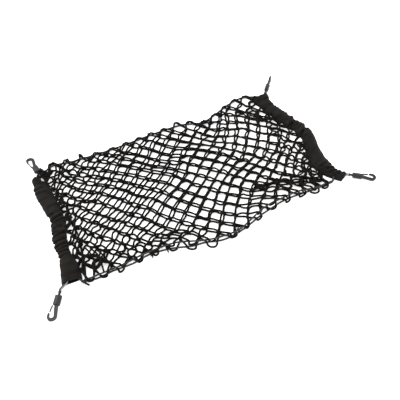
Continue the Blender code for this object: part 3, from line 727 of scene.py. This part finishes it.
def tangle(out, centre, spread, count, seed, radius=1.7):
    """Mesh cord bunched at a corner: short loops over one another."""
    rng = np.random.default_rng(seed)
    c, w = np.array(centre, float), np.array(spread, float)
    for _ in range(count):
        a0 = rng.uniform(0, 2 * math.pi)
        lean = rng.uniform(0.45, 1.0)
        reach = rng.uniform(0.45, 1.0)
        pts = []
        for k in range(6):
            a = a0 + k * rng.uniform(0.75, 1.15)
            pts.append(c + w * reach * np.array([math.cos(a), lean * math.sin(a), 0.9 * math.sin(a * 1.5 + a0)])
                       + rng.normal(0, 0.10, 3) * w)
        path = smooth_points(pts, 6)
        path[:, 2] = np.maximum(path[:, 2], radius)
        out.tube(mm(path), radius * 0.001, sides=8)


def slack(out, x, y, reach_x, reach_y, count, seed):
    """Bowed strands from joint to joint, where the meshes lie bunched."""
    rng = np.random.default_rng(seed)
    near = [pos[i, j] for pos in (low_pos, up_pos) for i in range(1, I_MAX) for j in range(1, J_MAX)
            if (i + j) % 2 == 0 and ((pos[i, j][0] - x) / reach_x) ** 2 + ((pos[i, j][1] - y) / reach_y) ** 2 < 1]
    for _ in range(count):
        a = near[rng.integers(len(near))]
        ends = [b for b in near if 11.0 < np.linalg.norm((b - a)[:2]) < 30.0]
        if not ends:
            continue
        b = ends[rng.integers(len(ends))]
        d = b - a
        side = np.array([-d[1], d[0], 0.0]) * rng.uniform(0.18, 0.42) * rng.choice([-1.0, 1.0])
        up = np.array([0, 0, 1.0])
        path = smooth_points([a, a + 0.25 * d + 0.8 * side + up, a + 0.5 * d + side + 1.6 * up,
                              a + 0.78 * d + 0.75 * side + up, b], 5)
        path[:, 2] = np.maximum(path[:, 2], 1.7)
        out.tube(mm(path), 0.00168, sides=8)


def seam_loop(out, side, v, seed):
    """Slack of the side meshes where the seam gathers them."""
    rng = np.random.default_rng(seed)
    rows = LEFT if side == "left" else RIGHT
    way = 1.0 if side == "left" else -1.0
    a, b = hermite(rows, v), hermite(rows, min(v + rng.uniform(0.25, 0.55), 9.95))
    reach = rng.uniform(6.0, 15.0) * way
    z = rng.uniform(2.5, 6.5)
    pts = [(a[0] - 4 * way, a[1], z), (a[0] + reach * 0.35, a[1] + rng.normal(0, 2), z + 1.2),
           (a[0] + reach * 0.9, a[1] + rng.normal(1, 2.5), z + rng.uniform(0, 2)),
           (0.5 * (a[0] + b[0]) + reach * 1.1, 0.5 * (a[1] + b[1]) + rng.normal(0, 3), z + rng.uniform(-1, 2)),
           (b[0] + reach * 0.7, b[1] + rng.normal(0, 2.5), z), (b[0] + reach * 0.2, b[1] + rng.normal(0, 2), z),
           (b[0] - 4 * way, b[1], z)]
    path = smooth_points(pts, 5)
    path[:, 2] = np.maximum(path[:, 2], 1.75)
    out.tube(mm(path), 0.00175, sides=8)


lower_nodes = layer_nodes("lower")
upper_nodes = layer_nodes("upper")
low_mesh, low_pos = strands("lower", lower_nodes)
up_mesh, up_pos = strands("upper", upper_nodes)
fold_loops(up_mesh, up_pos, low_pos)
# x, y, z, turn_deg, tail: where mesh cord is tied to the open edge's elastics
for k, row in enumerate([(-141.7, -149.0, 5.0, 0, 5.5), (-110.0, -147.0, 5.0, -4, 10.0),
                         (28.6, -174.0, 6.0, 4, 4.0), (104.5, -155.0, 6.0, 4, 0.0),
                         (102.0, 116.0, 5.0, -10, 0.0)]):
    tie(up_mesh, *row, seed=50 + k)
for v in np.arange(3.9, 7.3, 0.42):
    seam_loop(low_mesh, "left", v, 300 + int(100 * v))
for v in list(np.arange(0.8, 4.2, 0.55)) + [6.3, 7.0] + list(np.arange(7.6, 9.7, 0.40)):
    seam_loop(low_mesh, "right", v, 500 + int(100 * v))
tangle(low_mesh, (103, 114, 5.5), (7.5, 6.5, 3.5), 6, 67)
tangle(low_mesh, (-265, 137, 7.0), (7.5, 9.5, 4.6), 9, 61)
tangle(low_mesh, (-268, 127, 8.8), (7.5, 7.5, 3.4), 6, 64)
tangle(low_mesh, (-257, 126, 6.0), (9.0, 10.0, 4.0), 7, 68)
# x, y, reach_x, reach_y, count: corners where slack meshes lie bunched
for k, row in enumerate([(-232, -112, 26, 26, 6), (-200, -116, 30, 24, 5), (196, -118, 46, 26, 12), (124, -101, 24, 13, 9),
                         (222, 40, 26, 40, 6), (-246, -128, 22, 18, 5),
                         (-238, -116, 24, 16, 4), (236, 88, 20, 44, 10),
                         (240, -138, 24, 20, 7), (192, 92, 46, 36, 12)]):
    slack(up_mesh, *row, seed=80 + k)
# the side meshes gathered on a line down to the knot
for dx, dy, lift in ((0.0, 0.0, 0.0), (2.6, 1.0, 1.4)):
    line = [(-250, -30), (-253, -51), (-255, -74), (-259, -98), (-265, -119), (-270, -141)]
    path = smooth_points([(x + dx + 1.2 * math.sin(y * 0.16 + dx), y + dy, 5.6 + lift) for x, y in line], 8)
    up_mesh.tube(mm(path), 0.0017, sides=8)
tangle(low_mesh, (256, 127, 6.0), (6.0, 6.0, 4.0), 5, 62)
tangle(low_mesh, (241, 130, 6.0), (8.0, 6.5, 3.6), 6, 65)
# mesh cord drawn tight from the far left knot, over the rest
for line in ([(-266, 128), (-259, 116), (-243, 114), (-225, 117), (-211, 119)],
             [(-267, 126), (-263, 112), (-264, 95), (-255, 76)],
             [(-265, 125), (-261, 111), (-260, 96), (-249, 76)]):
    low_mesh.tube(mm(smooth_points([(x, y, 8.6 - 1.1 * k) for k, (x, y) in enumerate(line)], 6)), 0.00185, sides=8)
# slack bows at the near left corner
for line in ([(-248, -77), (-243, -95), (-243, -117), (-249, -137)],
             [(-239, -84), (-232, -103), (-232, -122), (-235, -145)],
             [(-229, -94), (-222, -113), (-220, -131), (-219, -148)]):
    low_mesh.tube(mm(smooth_points([(x, y, 5.2 + 1.2 * math.sin(k)) for k, (x, y) in enumerate(line)], 6)), 0.0017, sides=8)
net_low = low_mesh.object("net_lower_strands")
net_up = up_mesh.object("net_upper_strands")
finish_piece(net_low, MESH_CORD, ["net_lower"])
finish_piece(net_up, MESH_CORD, ["net_upper"])


# --------------------------------------------------------------- the sleeves
def sleeve_frame(side, t):
    t = np.asarray(t, float)
    inner_t = 0.015 + 0.97 * t
    if side == "left":
        inner = hermite(LEFT, inner_t * NV)
        rows = hermite(LEFT_SLEEVE, t)
    else:
        inner = hermite(RIGHT, inner_t * NV)
        slant = np.maximum(0.0, 1 - t / 0.09) ** 2
        inner = inner + slant[..., None] * np.array(RIGHT_END_SLANT)
        rows = hermite(RIGHT_SLEEVE, t)
    outer, height, share = rows[..., :2], rows[..., 2], rows[..., 3]
    if side == "left":
        late = np.maximum(0.0, 1 - (1 - t) / 0.13) ** 2
        inner = inner + (outer - inner) * (0.34 * step((t - 0.90) / 0.10))[..., None]
        inner = inner + late[..., None] * np.array([0.0, -18.0])
        early = 1 - step(t / 0.24)
        inner, outer = (inner - (outer - inner) * (0.13 * early)[..., None],
                        outer + (outer - inner) * (0.07 * early)[..., None])
        share = share - (0.20 * step((t - 0.92) / 0.08))
    else:
        wider = 12.5 * step((t - 0.88) / 0.09) + 6.5 * step((t - 0.76) / 0.14)
        width = np.linalg.norm(outer - inner, axis=-1)
        inner = inner - (outer - inner) * (wider / width)[..., None]
        share = (share * width + wider) / (width + wider)
    unit = (outer - inner) / np.linalg.norm(outer - inner, axis=-1)[..., None]
    return inner + unit * 0.4, outer, height, share


# t, lean, depth_mm, width_mm, from_share, to_share: the creases that stand out
CREASES = {
    "left": [(0.905, 0.10, 0.7, 4.2, 0.30, 1.00), (0.850, 0.16, 0.8, 4.0, 0.45, 1.00),
             (0.805, 0.20, 0.7, 3.6, 0.35, 1.00), (0.740, 0.06, 0.7, 3.6, 0.50, 1.00),
             (0.650, -0.05, 0.8, 4.2, 0.10, 0.70), (0.575, -0.05, 0.7, 4.0, 0.05, 0.70),
             (0.535, -0.10, 1.8, 3.0, 0.00, 1.00), (0.498, -0.12, 0.7, 3.6, 0.05, 0.80),
             (0.445, 0.05, 0.9, 4.6, 0.25, 0.90), (0.410, 0.10, 1.3, 3.4, 0.45, 1.00),
             (0.385, 0.02, 1.7, 3.6, 0.05, 0.95), (0.358, 0.14, 0.9, 2.8, 0.40, 1.00),
             (0.335, 0.08, 1.7, 3.0, 0.10, 1.00), (0.300, -0.04, 1.8, 3.2, 0.00, 0.95),
             (0.272, -0.06, 1.4, 2.7, 0.05, 1.00), (0.248, 0.03, 1.5, 2.8, 0.10, 1.00),
             (0.218, 0.00, 0.9, 3.0, 0.25, 1.00), (0.130, 0.05, 0.40, 6.0, 0.10, 0.80),
             (0.050, 0.00, 0.45, 5.0, 0.20, 0.80)],
    "right": [(0.030, 0.10, 1.2, 2.6, 0.40, 1.10), (0.066, 0.10, 1.6, 3.0, 0.30, 1.10),
              (0.098, -0.06, 2.0, 3.2, 0.45, 1.10), (0.150, 0.20, 1.0, 3.4, 0.30, 1.10),
              (0.205, 0.30, 0.6, 8.0, 0.20, 1.00), (0.310, 0.60, 0.6, 9.0, 0.10, 0.80),
              (0.420, 0.35, 0.6, 7.0, 0.00, 0.60), (0.470, 0.30, 0.8, 4.2, 0.10, 0.70),
              (0.531, 0.60, 3.2, 3.6, -0.10, 1.10), (0.500, 0.40, 0.9, 3.0, 0.45, 1.10),
              (0.570, 0.50, 0.9, 3.0, 0.20, 0.80), (0.604, 0.55, 1.0, 3.0, 0.40, 1.10),
              (0.645, 0.52, 3.6, 4.0, -0.10, 1.10), (0.688, 0.55, 0.9, 3.4, 0.30, 1.00),
              (0.735, -0.04, 0.6, 5.0, 0.10, 0.95), (0.800, 0.05, 0.6, 5.0, 0.00, 0.90),
              (0.870, -0.03, 0.6, 5.0, 0.10, 1.00), (0.945, 0.04, 0.7, 4.6, 0.00, 1.00)],
}
TOP_SHARE = [0.0, 0.015, 0.12, 0.28, 0.46, 0.62, 0.80, 0.955, 1.0]
TOP_HIGH = [0.30, 0.60, 0.76, 0.95, 1.00, 0.99, 0.82, 0.44, 0.12]


def calm(t):
    """The right sleeve's near half lies smoother than its ends."""
    return 1.0 - 0.70 * float(step((0.51 - t) / 0.05) * step((t - 0.17) / 0.05))


def sleeve_object(side):
    """Ruched channel: an outer skin and the bore it is gathered on."""
    long = 285.0
    rows, ring_n = 330, 44
    t = np.linspace(0, 1, rows)
    inner, outer, height, share = sleeve_frame(side, t)
    if side == "left":
        share = share + 0.34 * step((t - 0.92) / 0.08)      # the end's lobe stands at the outer side
    rng = np.random.default_rng(21 if side == "left" else 22)
    fine = []
    at = 0.012
    while at < 0.99:
        # short puckers, most of them at the outer edge, where the cloth is gathered most
        tight = calm(at) if side == "right" else float(step((0.62 - abs(at - 0.42)) / 0.5)) ** 2 * (0.25 + 0.75 * (abs(at - 0.40) < 0.2))
        edge = rng.random() < 0.72
        s0 = rng.uniform(0.62, 0.80) if edge else rng.uniform(-0.1, 0.35)
        s1 = 1.1 if edge else s0 + rng.uniform(0.2, 0.5)
        fine.append((at, rng.normal(0, 0.12), tight * (rng.uniform(0.25, 1.15) if edge else rng.uniform(0.05, 0.45)),
                     rng.uniform(1.6, 2.9), s0, s1))
        at += rng.uniform(0.008, 0.034)
    creases = CREASES[side] + fine
    # section: shares across and kinds, bottom from inner to outer, then the top back
    n_bot, n_top = 14, ring_n - 14
    s_bot = np.linspace(0.0, 1.0, n_bot)
    s_top = 0.5 - 0.5 * np.cos(np.linspace(0, math.pi, n_top + 2)[1:-1])
    s_top = s_top[::-1]
    verts = np.zeros((rows, ring_n, 3))
    bore = np.zeros((rows, ring_n, 3))
    shade = np.zeros((rows, ring_n))
    for k in range(rows):
        a, b, h, crown = inner[k], outer[k], height[k], share[k]
        across = b - a
        wide = np.linalg.norm(across)
        unit = across / wide
        x_t = t[k] * long
        wob = 1.3 * math.sin(x_t / 7.1 + 1.3) * math.sin(x_t / 23.0) + (1.1 * calm(t[k]) if side == "right" else 0.6) * math.sin(x_t / 3.3 + 0.8 * math.sin(x_t / 17.0))
        s_all = np.r_[s_bot, s_top]
        top = np.r_[np.zeros(n_bot), np.ones(n_top)]
        su = np.where(s_top < crown, 0.5 * s_top / crown, 0.5 + 0.5 * (s_top - crown) / (1 - crown))
        hz = np.interp(su, TOP_SHARE, TOP_HIGH) * h
        drop = np.zeros(n_top)
        pull = 0.0
        for ct, lean, depth, width, s0, s1 in creases:
            centre = ct * long + lean * (s_top - 0.5) * wide
            g = np.exp(-((x_t - centre) / width) ** 2)
            win = step((s_top - s0 + 0.12) / 0.12) * step((s1 + 0.12 - s_top) / 0.12)
            side_w = np.exp(-((x_t - centre - 1.9 * width) / (1.3 * width)) ** 2) * 0.38
            drop += 1.75 * depth * (g - side_w) * win
            pull += depth * math.exp(-((x_t - ct * long - lean * 0.5 * wide) / width) ** 2) * (1.15 if s1 > 0.95 else 0.35) * (1.5 if side == "left" else 1.0)
        zt = np.maximum(hz - drop * np.clip(hz / 5.0, 0.2, 1.0), 0.6)
        off = (s_top - crown) * wide
        zt = np.maximum(zt, 4.5 + np.sqrt(np.maximum(0.0, 3.55**2 - off**2)) * (np.abs(off) < 3.55) - 4.0 * (np.abs(off) >= 3.55))
        # painted shade: the crease depth, kept to darken the cloth's colour in its creases
        shade[k, n_bot:] = np.clip(drop / 2.6, -0.5, 1.0)
        z = np.r_[np.full(n_bot, 0.12), zt]
        z[0] = 0.9
        z[n_bot - 1] = 0.9
        shrink = np.clip(pull, 0.0, 3.8)
        p = a[None, :] + across[None, :] * s_all[:, None]
        lean_out = (s_all - 0.5) * 2.0
        p = p - unit[None, :] * (lean_out * np.abs(lean_out))[:, None] * shrink * np.where(lean_out > 0, 1.0, 0.35)[:, None]
        p = p + unit[None, :] * (wob * 0.5 * (np.maximum(lean_out, 0) ** 2))[:, None]
        verts[k, :, :2] = p
        verts[k, :, 2] = z
        # inside of the cloth, a wall's thickness in from the outer skin
        wall = 0.8
        inside = np.clip(s_all, (wall + 0.5) / wide, 1 - (wall + 0.5) / wide)
        q = p + across[None, :] * (inside - s_all)[:, None]
        bore[k, :, :2] = q
        floor_z = 0.12 + wall
        bore[k, :, 2] = np.where(top > 0.5, np.maximum(z - wall, floor_z + 0.18), floor_z)
    # ends: the hem turns in a little
    out = Meshes()
    outer_v = mm(verts.reshape(-1, 3))
    bore_v = mm(bore.reshape(-1, 3))
    faces, uvs = [], []
    girth = np.linspace(0, 0.072, ring_n + 1)
    run = t * long * 0.00115
    for base, flip in ((0, False), (rows * ring_n, True)):
        for k in range(rows - 1):
            for j in range(ring_n):
                q = (j + 1) % ring_n
                f = [base + k * ring_n + j, base + k * ring_n + q,
                     base + (k + 1) * ring_n + q, base + (k + 1) * ring_n + j]
                w = [(girth[j], run[k]), (girth[j + 1], run[k]),
                     (girth[j + 1], run[k + 1]), (girth[j], run[k + 1])]
                faces.append(tuple(f))
                uvs += w
    off = rows * ring_n
    for k in (0, rows - 1):
        for j in range(ring_n):
            q = (j + 1) % ring_n
            faces.append((k * ring_n + j, k * ring_n + q, off + k * ring_n + q, off + k * ring_n + j))
            uvs += [(girth[j], 0), (girth[j + 1], 0), (girth[j + 1], 0.004), (girth[j], 0.004)]
    out.add(np.vstack([outer_v, bore_v]), faces, uvs)
    obj = out.object("sleeve_%s_cloth" % side)
    # painted shade for the cloth: the creases' depth on the outer skin, and a fixed darkening all over the bore inside
    crease_shade_attr = obj.data.attributes.new("painted_shade", "FLOAT", "POINT")
    crease_shade_attr.data.foreach_set("value", np.r_[shade.ravel(), np.full(rows * ring_n, 0.6)].astype(np.float32))
    # stitches along the seam that holds the mesh
    st = Meshes()
    path = verts[:, :, :]
    want = 0.10
    for k in range(3, rows - 5, 5):
        j = n_bot + int(np.argmin(np.abs(s_top - want)))
        a0 = path[k, j] + np.array([0, 0, 0.12])
        a1 = path[k + 3, j] + np.array([0, 0, 0.12])
        mid = 0.5 * (a0 + a1) + np.array([0, 0, 0.22])
        st.tube(mm(smooth_points([a0 - [0, 0, 0.3], mid, a1 - [0, 0, 0.3]], 3)), 0.00026, sides=6)
    stitch = st.object("sleeve_%s_stitching" % side)
    finish_piece(obj, CLOTH, ["sleeve_" + side])
    finish_piece(stitch, THREAD)
    return obj


sleeve_l = sleeve_object("left")
sleeve_r = sleeve_object("right")


# --------------------------------------------------------------- the hooks
def hook_frame(row):
    _, x, y, z, dx, dy, drop, roll = row
    d = Vector((dx, dy, 0)).normalized()
    side = Vector((-d.y, d.x, 0))
    base = Matrix((d, side, Vector((0, 0, 1)))).transposed().to_4x4()
    tilt = Matrix.Rotation(math.radians(drop), 4, "Y")
    turn = Matrix.Rotation(math.radians(roll), 4, "X")
    return Matrix.Translation(Vector(mm((x, y, z)))) @ base @ tilt @ turn


SHANK = [(13.0, -0.6, 6.8), (21.5, -0.9, 6.8), (30.0, -2.3, 6.4), (39.2, -3.85, 6.1)]
BEND_C, BEND_IN, BEND_OUT = (39.4, 3.1), 3.9, (10.0, 9.6, 7.5)
TIP_X, TIP_IN, TIP_OUT = 34.4, 7.1, 10.6
GATE_ROOT, GATE_TIP = (20.7, 6.3), (32.6, 8.2)
HOOK_T = 4.5


def loft(name, rings, smooth=True):
    """Closed loft through equal rings, its ends filled."""
    bm = bmesh.new()
    made = [[bm.verts.new(Vector(p) * 0.001) for p in ring] for ring in rings]
    n = len(made[0])
    for a, b in zip(made[:-1], made[1:]):
        for j in range(n):
            bm.faces.new((a[j], a[(j + 1) % n], b[(j + 1) % n], b[j]))
    bm.faces.new(list(reversed(made[0])))
    bm.faces.new(made[-1])
    bmesh.ops.recalc_face_normals(bm, faces=bm.faces)
    mesh = bpy.data.meshes.new(name)
    bm.to_mesh(mesh)
    bm.free()
    mesh.polygons.foreach_set("use_smooth", [smooth] * len(mesh.polygons))
    obj = bpy.data.objects.new(name, mesh)
    bpy.context.scene.collection.objects.link(obj)
    return obj


def flat_rings():
    """Shank, bend and point: rounded section with a shallow channel each side."""
    line = []
    for x in np.linspace(11.0, 39.2, 24):
        n, w = hermite(SHANK, max(x, 13.0))
        line.append((x, float(n), float(w)))
    for k in range(1, 27):
        a = math.radians(-90 + 180 * k / 26)
        s = k / 26
        r0, r1, r2 = BEND_OUT
        r = r0 + (r1 - r0) * float(step(2 * s)) if s < 0.5 else r1 + (r2 - r1) * float(step(2 * s - 1))
        mid = (r + BEND_IN) / 2
        line.append((BEND_C[0] + mid * math.cos(a), BEND_C[1] + mid * math.sin(a), r - BEND_IN))
    mid = (TIP_IN + TIP_OUT) / 2
    for x, w in ((38.0, 3.5), (36.8, 3.5), (35.8, 3.4), (35.1, 2.9), (34.7, 2.2), (34.45, 1.2)):
        line.append((x, mid, w))
    line = np.array(line)
    run = np.gradient(line[:, :2], axis=0)
    run /= np.linalg.norm(run, axis=1)[:, None]
    rings = []
    count = 28
    for k, (x, n, w) in enumerate(line):
        side = np.array([-run[k, 1], run[k, 0]])
        tail = len(line) - 1 - k
        thick = HOOK_T * (1.0 if tail > 3 else (0.55 + 0.15 * tail))
        ring = []
        for j in range(count):
            a = 2 * math.pi * (j + 0.5) / count
            c, s = math.cos(a), math.sin(a)
            cs = math.copysign(abs(c) ** 0.42, c) * w / 2
            sn = math.copysign(abs(s) ** 0.42, s) * thick / 2
            groove = 0.26 * math.exp(-(cs / (0.22 * w)) ** 4) if (tail > 5 and k > 7) else 0.0
            sn *= 1.0 - groove
            p = np.array([x, n]) + side * cs
            ring.append((p[0], p[1], sn))
        rings.append(ring)
    return rings


def barrel_rings():
    """Barrel with two side lobes, their grooves and a stepped, rounded rim."""
    rings = []
    count = 56
    for x, scale in ((0.0, 0.80), (0.25, 0.90), (0.7, 0.97), (1.4, 1.0), (2.6, 1.0), (3.2, 0.975),
                     (3.8, 1.0), (7.0, 1.0), (11.0, 1.0), (14.6, 1.0), (15.4, 0.975), (16.0, 1.0),
                     (17.6, 1.0), (18.4, 0.97), (18.85, 0.90), (19.05, 0.80)):
        ring = []
        for j in range(count):
            a = 2 * math.pi * j / count
            e = np.array([math.cos(a), math.sin(a)])
            best = 5.0
            for c in (3.05, -3.05):
                proj = c * e[0]
                disc = 3.65**2 - c * c + proj * proj
                if disc > 0:
                    best = max(best, proj + math.sqrt(disc))
            for g in (38, 142, 218, 322):
                away = (math.degrees(a) - g + 180) % 360 - 180
                best -= 0.95 * math.exp(-(away / 7.5) ** 2)
            for g in (0, 180):
                away = (math.degrees(a) - g + 180) % 360 - 180
                best -= 0.60 * math.exp(-(away / 5.5) ** 2)
            r = best * scale
            ring.append((x, r * e[0], r * e[1]))
        rings.append(ring)
    return rings


def nub_rings():
    rings = []
    for x, r in ((-8.0, 2.55), (-7.85, 2.95), (-7.4, 3.2), (-6.6, 3.25), (-5.8, 3.2), (-5.2, 3.0),
                 (-4.8, 2.6), (-4.3, 2.4), (-3.0, 2.35), (-1.6, 2.4), (-0.6, 2.7), (0.6, 3.2), (1.6, 3.2)):
        rings.append([(x, r * math.cos(2 * math.pi * j / 28), r * math.sin(2 * math.pi * j / 28))
                      for j in range(28)])
    return rings


def hook_prototype():
    body = loft("hook_proto", flat_rings())
    extra = [loft("hook_barrel", barrel_rings()), loft("hook_nub", nub_rings())]
    for piece in extra:
        mod = body.modifiers.new("join", "BOOLEAN")
        mod.operation = "UNION"
        mod.solver = "EXACT"
        mod.object = piece
    bpy.context.view_layer.update()
    mesh = bpy.data.meshes.new_from_object(body.evaluated_get(bpy.context.evaluated_depsgraph_get()))
    for obj in [body] + extra:
        bpy.data.objects.remove(obj)
    mesh.polygons.foreach_set("use_smooth", [True] * len(mesh.polygons))
    mesh.set_sharp_from_angle(angle=math.radians(38))
    return mesh


def gate_prototype():
    """Springy tongue: thin, tapered, round at its root, origin on the hinge."""
    gx, gy = GATE_TIP[0] - GATE_ROOT[0], GATE_TIP[1] - GATE_ROOT[1]
    long, turn = math.hypot(gx, gy), math.atan2(gy, gx)
    rings = []
    for s, w, th in ((-1.06, 0.5, 3.2), (-0.9, 1.2, 3.7), (-0.5, 1.9, 4.0), (0.0, 2.2, 4.0),
                     (1.2, 2.15, 4.0), (3.0, 2.0, 3.9), (6.0, 1.9, 3.8), (9.0, 1.95, 3.7),
                     (long - 1.6, 2.1, 3.6), (long - 0.7, 1.9, 3.4), (long - 0.2, 1.4, 3.0), (long, 0.7, 2.4)):
        ring = []
        for j in range(20):
            a = 2 * math.pi * (j + 0.5) / 20
            c = math.copysign(abs(math.cos(a)) ** 0.5, math.cos(a)) * w / 2
            z = math.copysign(abs(math.sin(a)) ** 0.5, math.sin(a)) * th / 2
            ring.append((s * math.cos(turn) - c * math.sin(turn), s * math.sin(turn) + c * math.cos(turn), z))
        rings.append(ring)
    obj = loft("gate_proto", rings)
    mesh = obj.data.copy()
    bpy.data.objects.remove(obj)
    mesh.set_sharp_from_angle(angle=math.radians(50))
    return mesh


hook_mesh, gate_mesh = hook_prototype(), gate_prototype()
for row in HOOKS:
    name, place = row[0], hook_frame(row)
    for kind, source, body, offset in (
            ("hook", hook_mesh, ROOT, Matrix.Identity(4)),
            ("gate", gate_mesh, "gate_" + name,
             Matrix.Translation(Vector((GATE_ROOT[0] * 0.001, GATE_ROOT[1] * 0.001, 0))))):
        mesh = source.copy()
        mesh.transform(place @ offset)
        obj = bpy.data.objects.new("%s_%s_moulding" % (kind, name), mesh)
        bpy.context.scene.collection.objects.link(obj)
        finish_piece(obj, PLASTIC, ["%s_%s" % (kind, name)], body)


# --------------------------------------------------------------- the elastics
def braided(name, path_mm, radius, material, replaces, spacing=1.6, sides=16, up=(0, 0, 1)):
    path = even_path(path_mm, spacing)
    made = Meshes()
    made.tube(mm(path), radius * 0.001, sides=sides, up=up)
    obj = made.object(name)
    finish_piece(obj, material, replaces)
    points = [tuple(float(c) for c in p) for p in mm(path)]
    length = float(np.linalg.norm(np.diff(mm(path), axis=0), axis=1).sum())
    return obj, points, length


def hook_back(row, dist):
    p = hook_frame(row) @ Vector((-(NUB_BACK + dist) * 0.001, 0, 0))
    return np.array([p.x * 1000 + CX, p.y * 1000 + CY, p.z * 1000])


def end_route(side):
    rows = {row[0]: row for row in HOOKS}
    pts = [hook_back(rows["near_" + side], d) for d in (-1.0, 2.4, 4.2)]
    for k in range(14):
        t = 0.01 + 0.91 * k / 13
        inner, outer, height, share = sleeve_frame(side, t)
        p = inner + (outer - inner) * share
        pts.append(np.array([p[0], p[1], 4.4 + (0.8 if k == 0 else 0.0)]))
    pts += [hook_back(rows["far_" + side], d) for d in (4.2, 2.4, -1.0)]
    return smooth_points(pts, 8)


u_mouth = np.linspace(0.68, 16.80, 90)
for which in ("lower", "upper"):
    path = edge_elastic(which, u_mouth)
    # tucked under the sleeve's edge at the right end, tied at the left
    last = np.stack([path[-1] + np.array([5.0, 3.0, -0.5]), path[-1] + np.array([8.5, 8.5, -0.9])])
    first = np.append(hermite(NEAR, 0.26), 0.0) + np.array([0.6, -2.2, 4.4 if which == "upper" else 2.6])
    lift = 4.4 if which == "upper" else 2.6
    tuck = [np.append(hermite(NEAR, 0.0), 0.0) + np.array(p) for p in ((-4.0, 22.0, lift), (-1.5, 8.0, lift), (2.2, 0.4, lift))]
    path = np.vstack([smooth_points(tuck + [first], 5)[:-1], first, path[1:], last])
    x, y = path[:, 0], path[:, 1]
    wob = waves(x, y, 90 if which == "lower" else 91, 70.0)
    path[:, 1] += 0.8 * wob * step(np.minimum(np.arange(len(x)), len(x) - 1 - np.arange(len(x))) / 6.0)
    (("mouth_" + which,) + braided("elastic_mouth_" + which, path, 1.75, EDGE_CORD,
                                              ["cord_mouth_" + which]))
path = edge_elastic("fold", np.linspace(0.10, 16.90, 90))
path = np.vstack([path[0] + np.array([-4.0, -2.0, 0]), path, path[-1] + np.array([4.0, -3.0, 0])])
("fold",) + braided("elastic_fold", path, 1.95, EDGE_CORD, ["cord_fold"])
for side in ("left", "right"):
    (("end_" + side,) + braided("elastic_end_" + side, end_route(side), 2.7, END_CORD[side],
                                           ["cord_end_" + side]))

# the knot: two round turns drawn tight and a cut tail
knot = Meshes()
kc = np.append(hermite(NEAR, 0.26), 0.0) + np.array([0.8, -3.2, 4.4])
turns = []
for k in range(81):
    a = 2 * math.pi * 2.15 * k / 80
    turns.append(kc + np.array([2.6 * math.cos(a) * (1 - 0.12 * math.sin(a * 0.5)),
                                -2.4 + 4.8 * k / 80,
                                2.35 * math.sin(a)]))
knot.tube(mm(smooth_points(turns, 2)), 0.00165, sides=12, up=(0, 1, 0.01))
cross = [kc + np.array(p) for p in ((-4.4, 1.6, 0.2), (-2.2, -1.4, 2.4), (0.6, -1.6, 3.1), (2.8, 0.8, 2.2), (4.2, 2.2, 0.2))]
knot.tube(mm(smooth_points(cross, 6)), 0.00165, sides=12)
tail = [kc + np.array(p) for p in ((-0.6, 0.4, -0.6), (0.6, -3.4, -1.0), (2.4, -6.0, -1.6), (4.6, -8.4, -2.2), (5.6, -9.4, -2.4))]
knot.tube(mm(smooth_points(tail, 6)), 0.00185, sides=12)
knot_obj = knot.object("edge_knot")
finish_piece(knot_obj, KNOT_CORD, ["knot_near_left"])


# --------------------------------------------------------------- floor, light
def floor():
    mesh = bpy.data.meshes.new("floor")
    s = 6.0
    mesh.from_pydata([(-s, -s, 0), (s, -s, 0), (s, s, 0), (-s, s, 0)], [], [(0, 1, 2, 3)])
    obj = bpy.data.objects.new("floor", mesh)
    bpy.context.scene.collection.objects.link(obj)
    mat, nodes, links, bsdf = new_material("floor_pale")
    tone = noise(nodes, links, 0.6, 1.0)
    links.new(mix_color(nodes, links, tone, (0.93, 0.93, 0.93), (0.96, 0.96, 0.96)), bsdf.inputs["Base Color"])
    bsdf.inputs["Roughness"].default_value = 0.9
    bsdf.inputs["Emission Color"].default_value = (1.0, 1.0, 1.0, 1.0)
    bsdf.inputs["Emission Strength"].default_value = 0.56      # a lit white table
    mesh.materials.append(mat)


def area(name, place, target, size, power, color=(1, 1, 1)):
    data = bpy.data.lights.new(name, "AREA")
    data.shape = "SQUARE"
    data.size = size
    data.energy = power
    data.color = color
    obj = bpy.data.objects.new(name, data)
    bpy.context.scene.collection.objects.link(obj)
    obj.location = place
    obj.rotation_euler = (Vector(target) - Vector(place)).to_track_quat("-Z", "Y").to_euler()


floor()
area("key", (-1.1, 1.2, 2.2), (0, 0, 0), 2.2, 52.0)
area("fill", (1.6, -1.2, 1.9), (0, 0, 0), 2.4, 22.0)
world = bpy.data.worlds.new("studio")
bpy.context.scene.world = world
world.use_nodes = True
world.node_tree.nodes["Background"].inputs["Color"].default_value = (1.0, 1.0, 1.0, 1.0)
world.node_tree.nodes["Background"].inputs["Strength"].default_value = 1.05
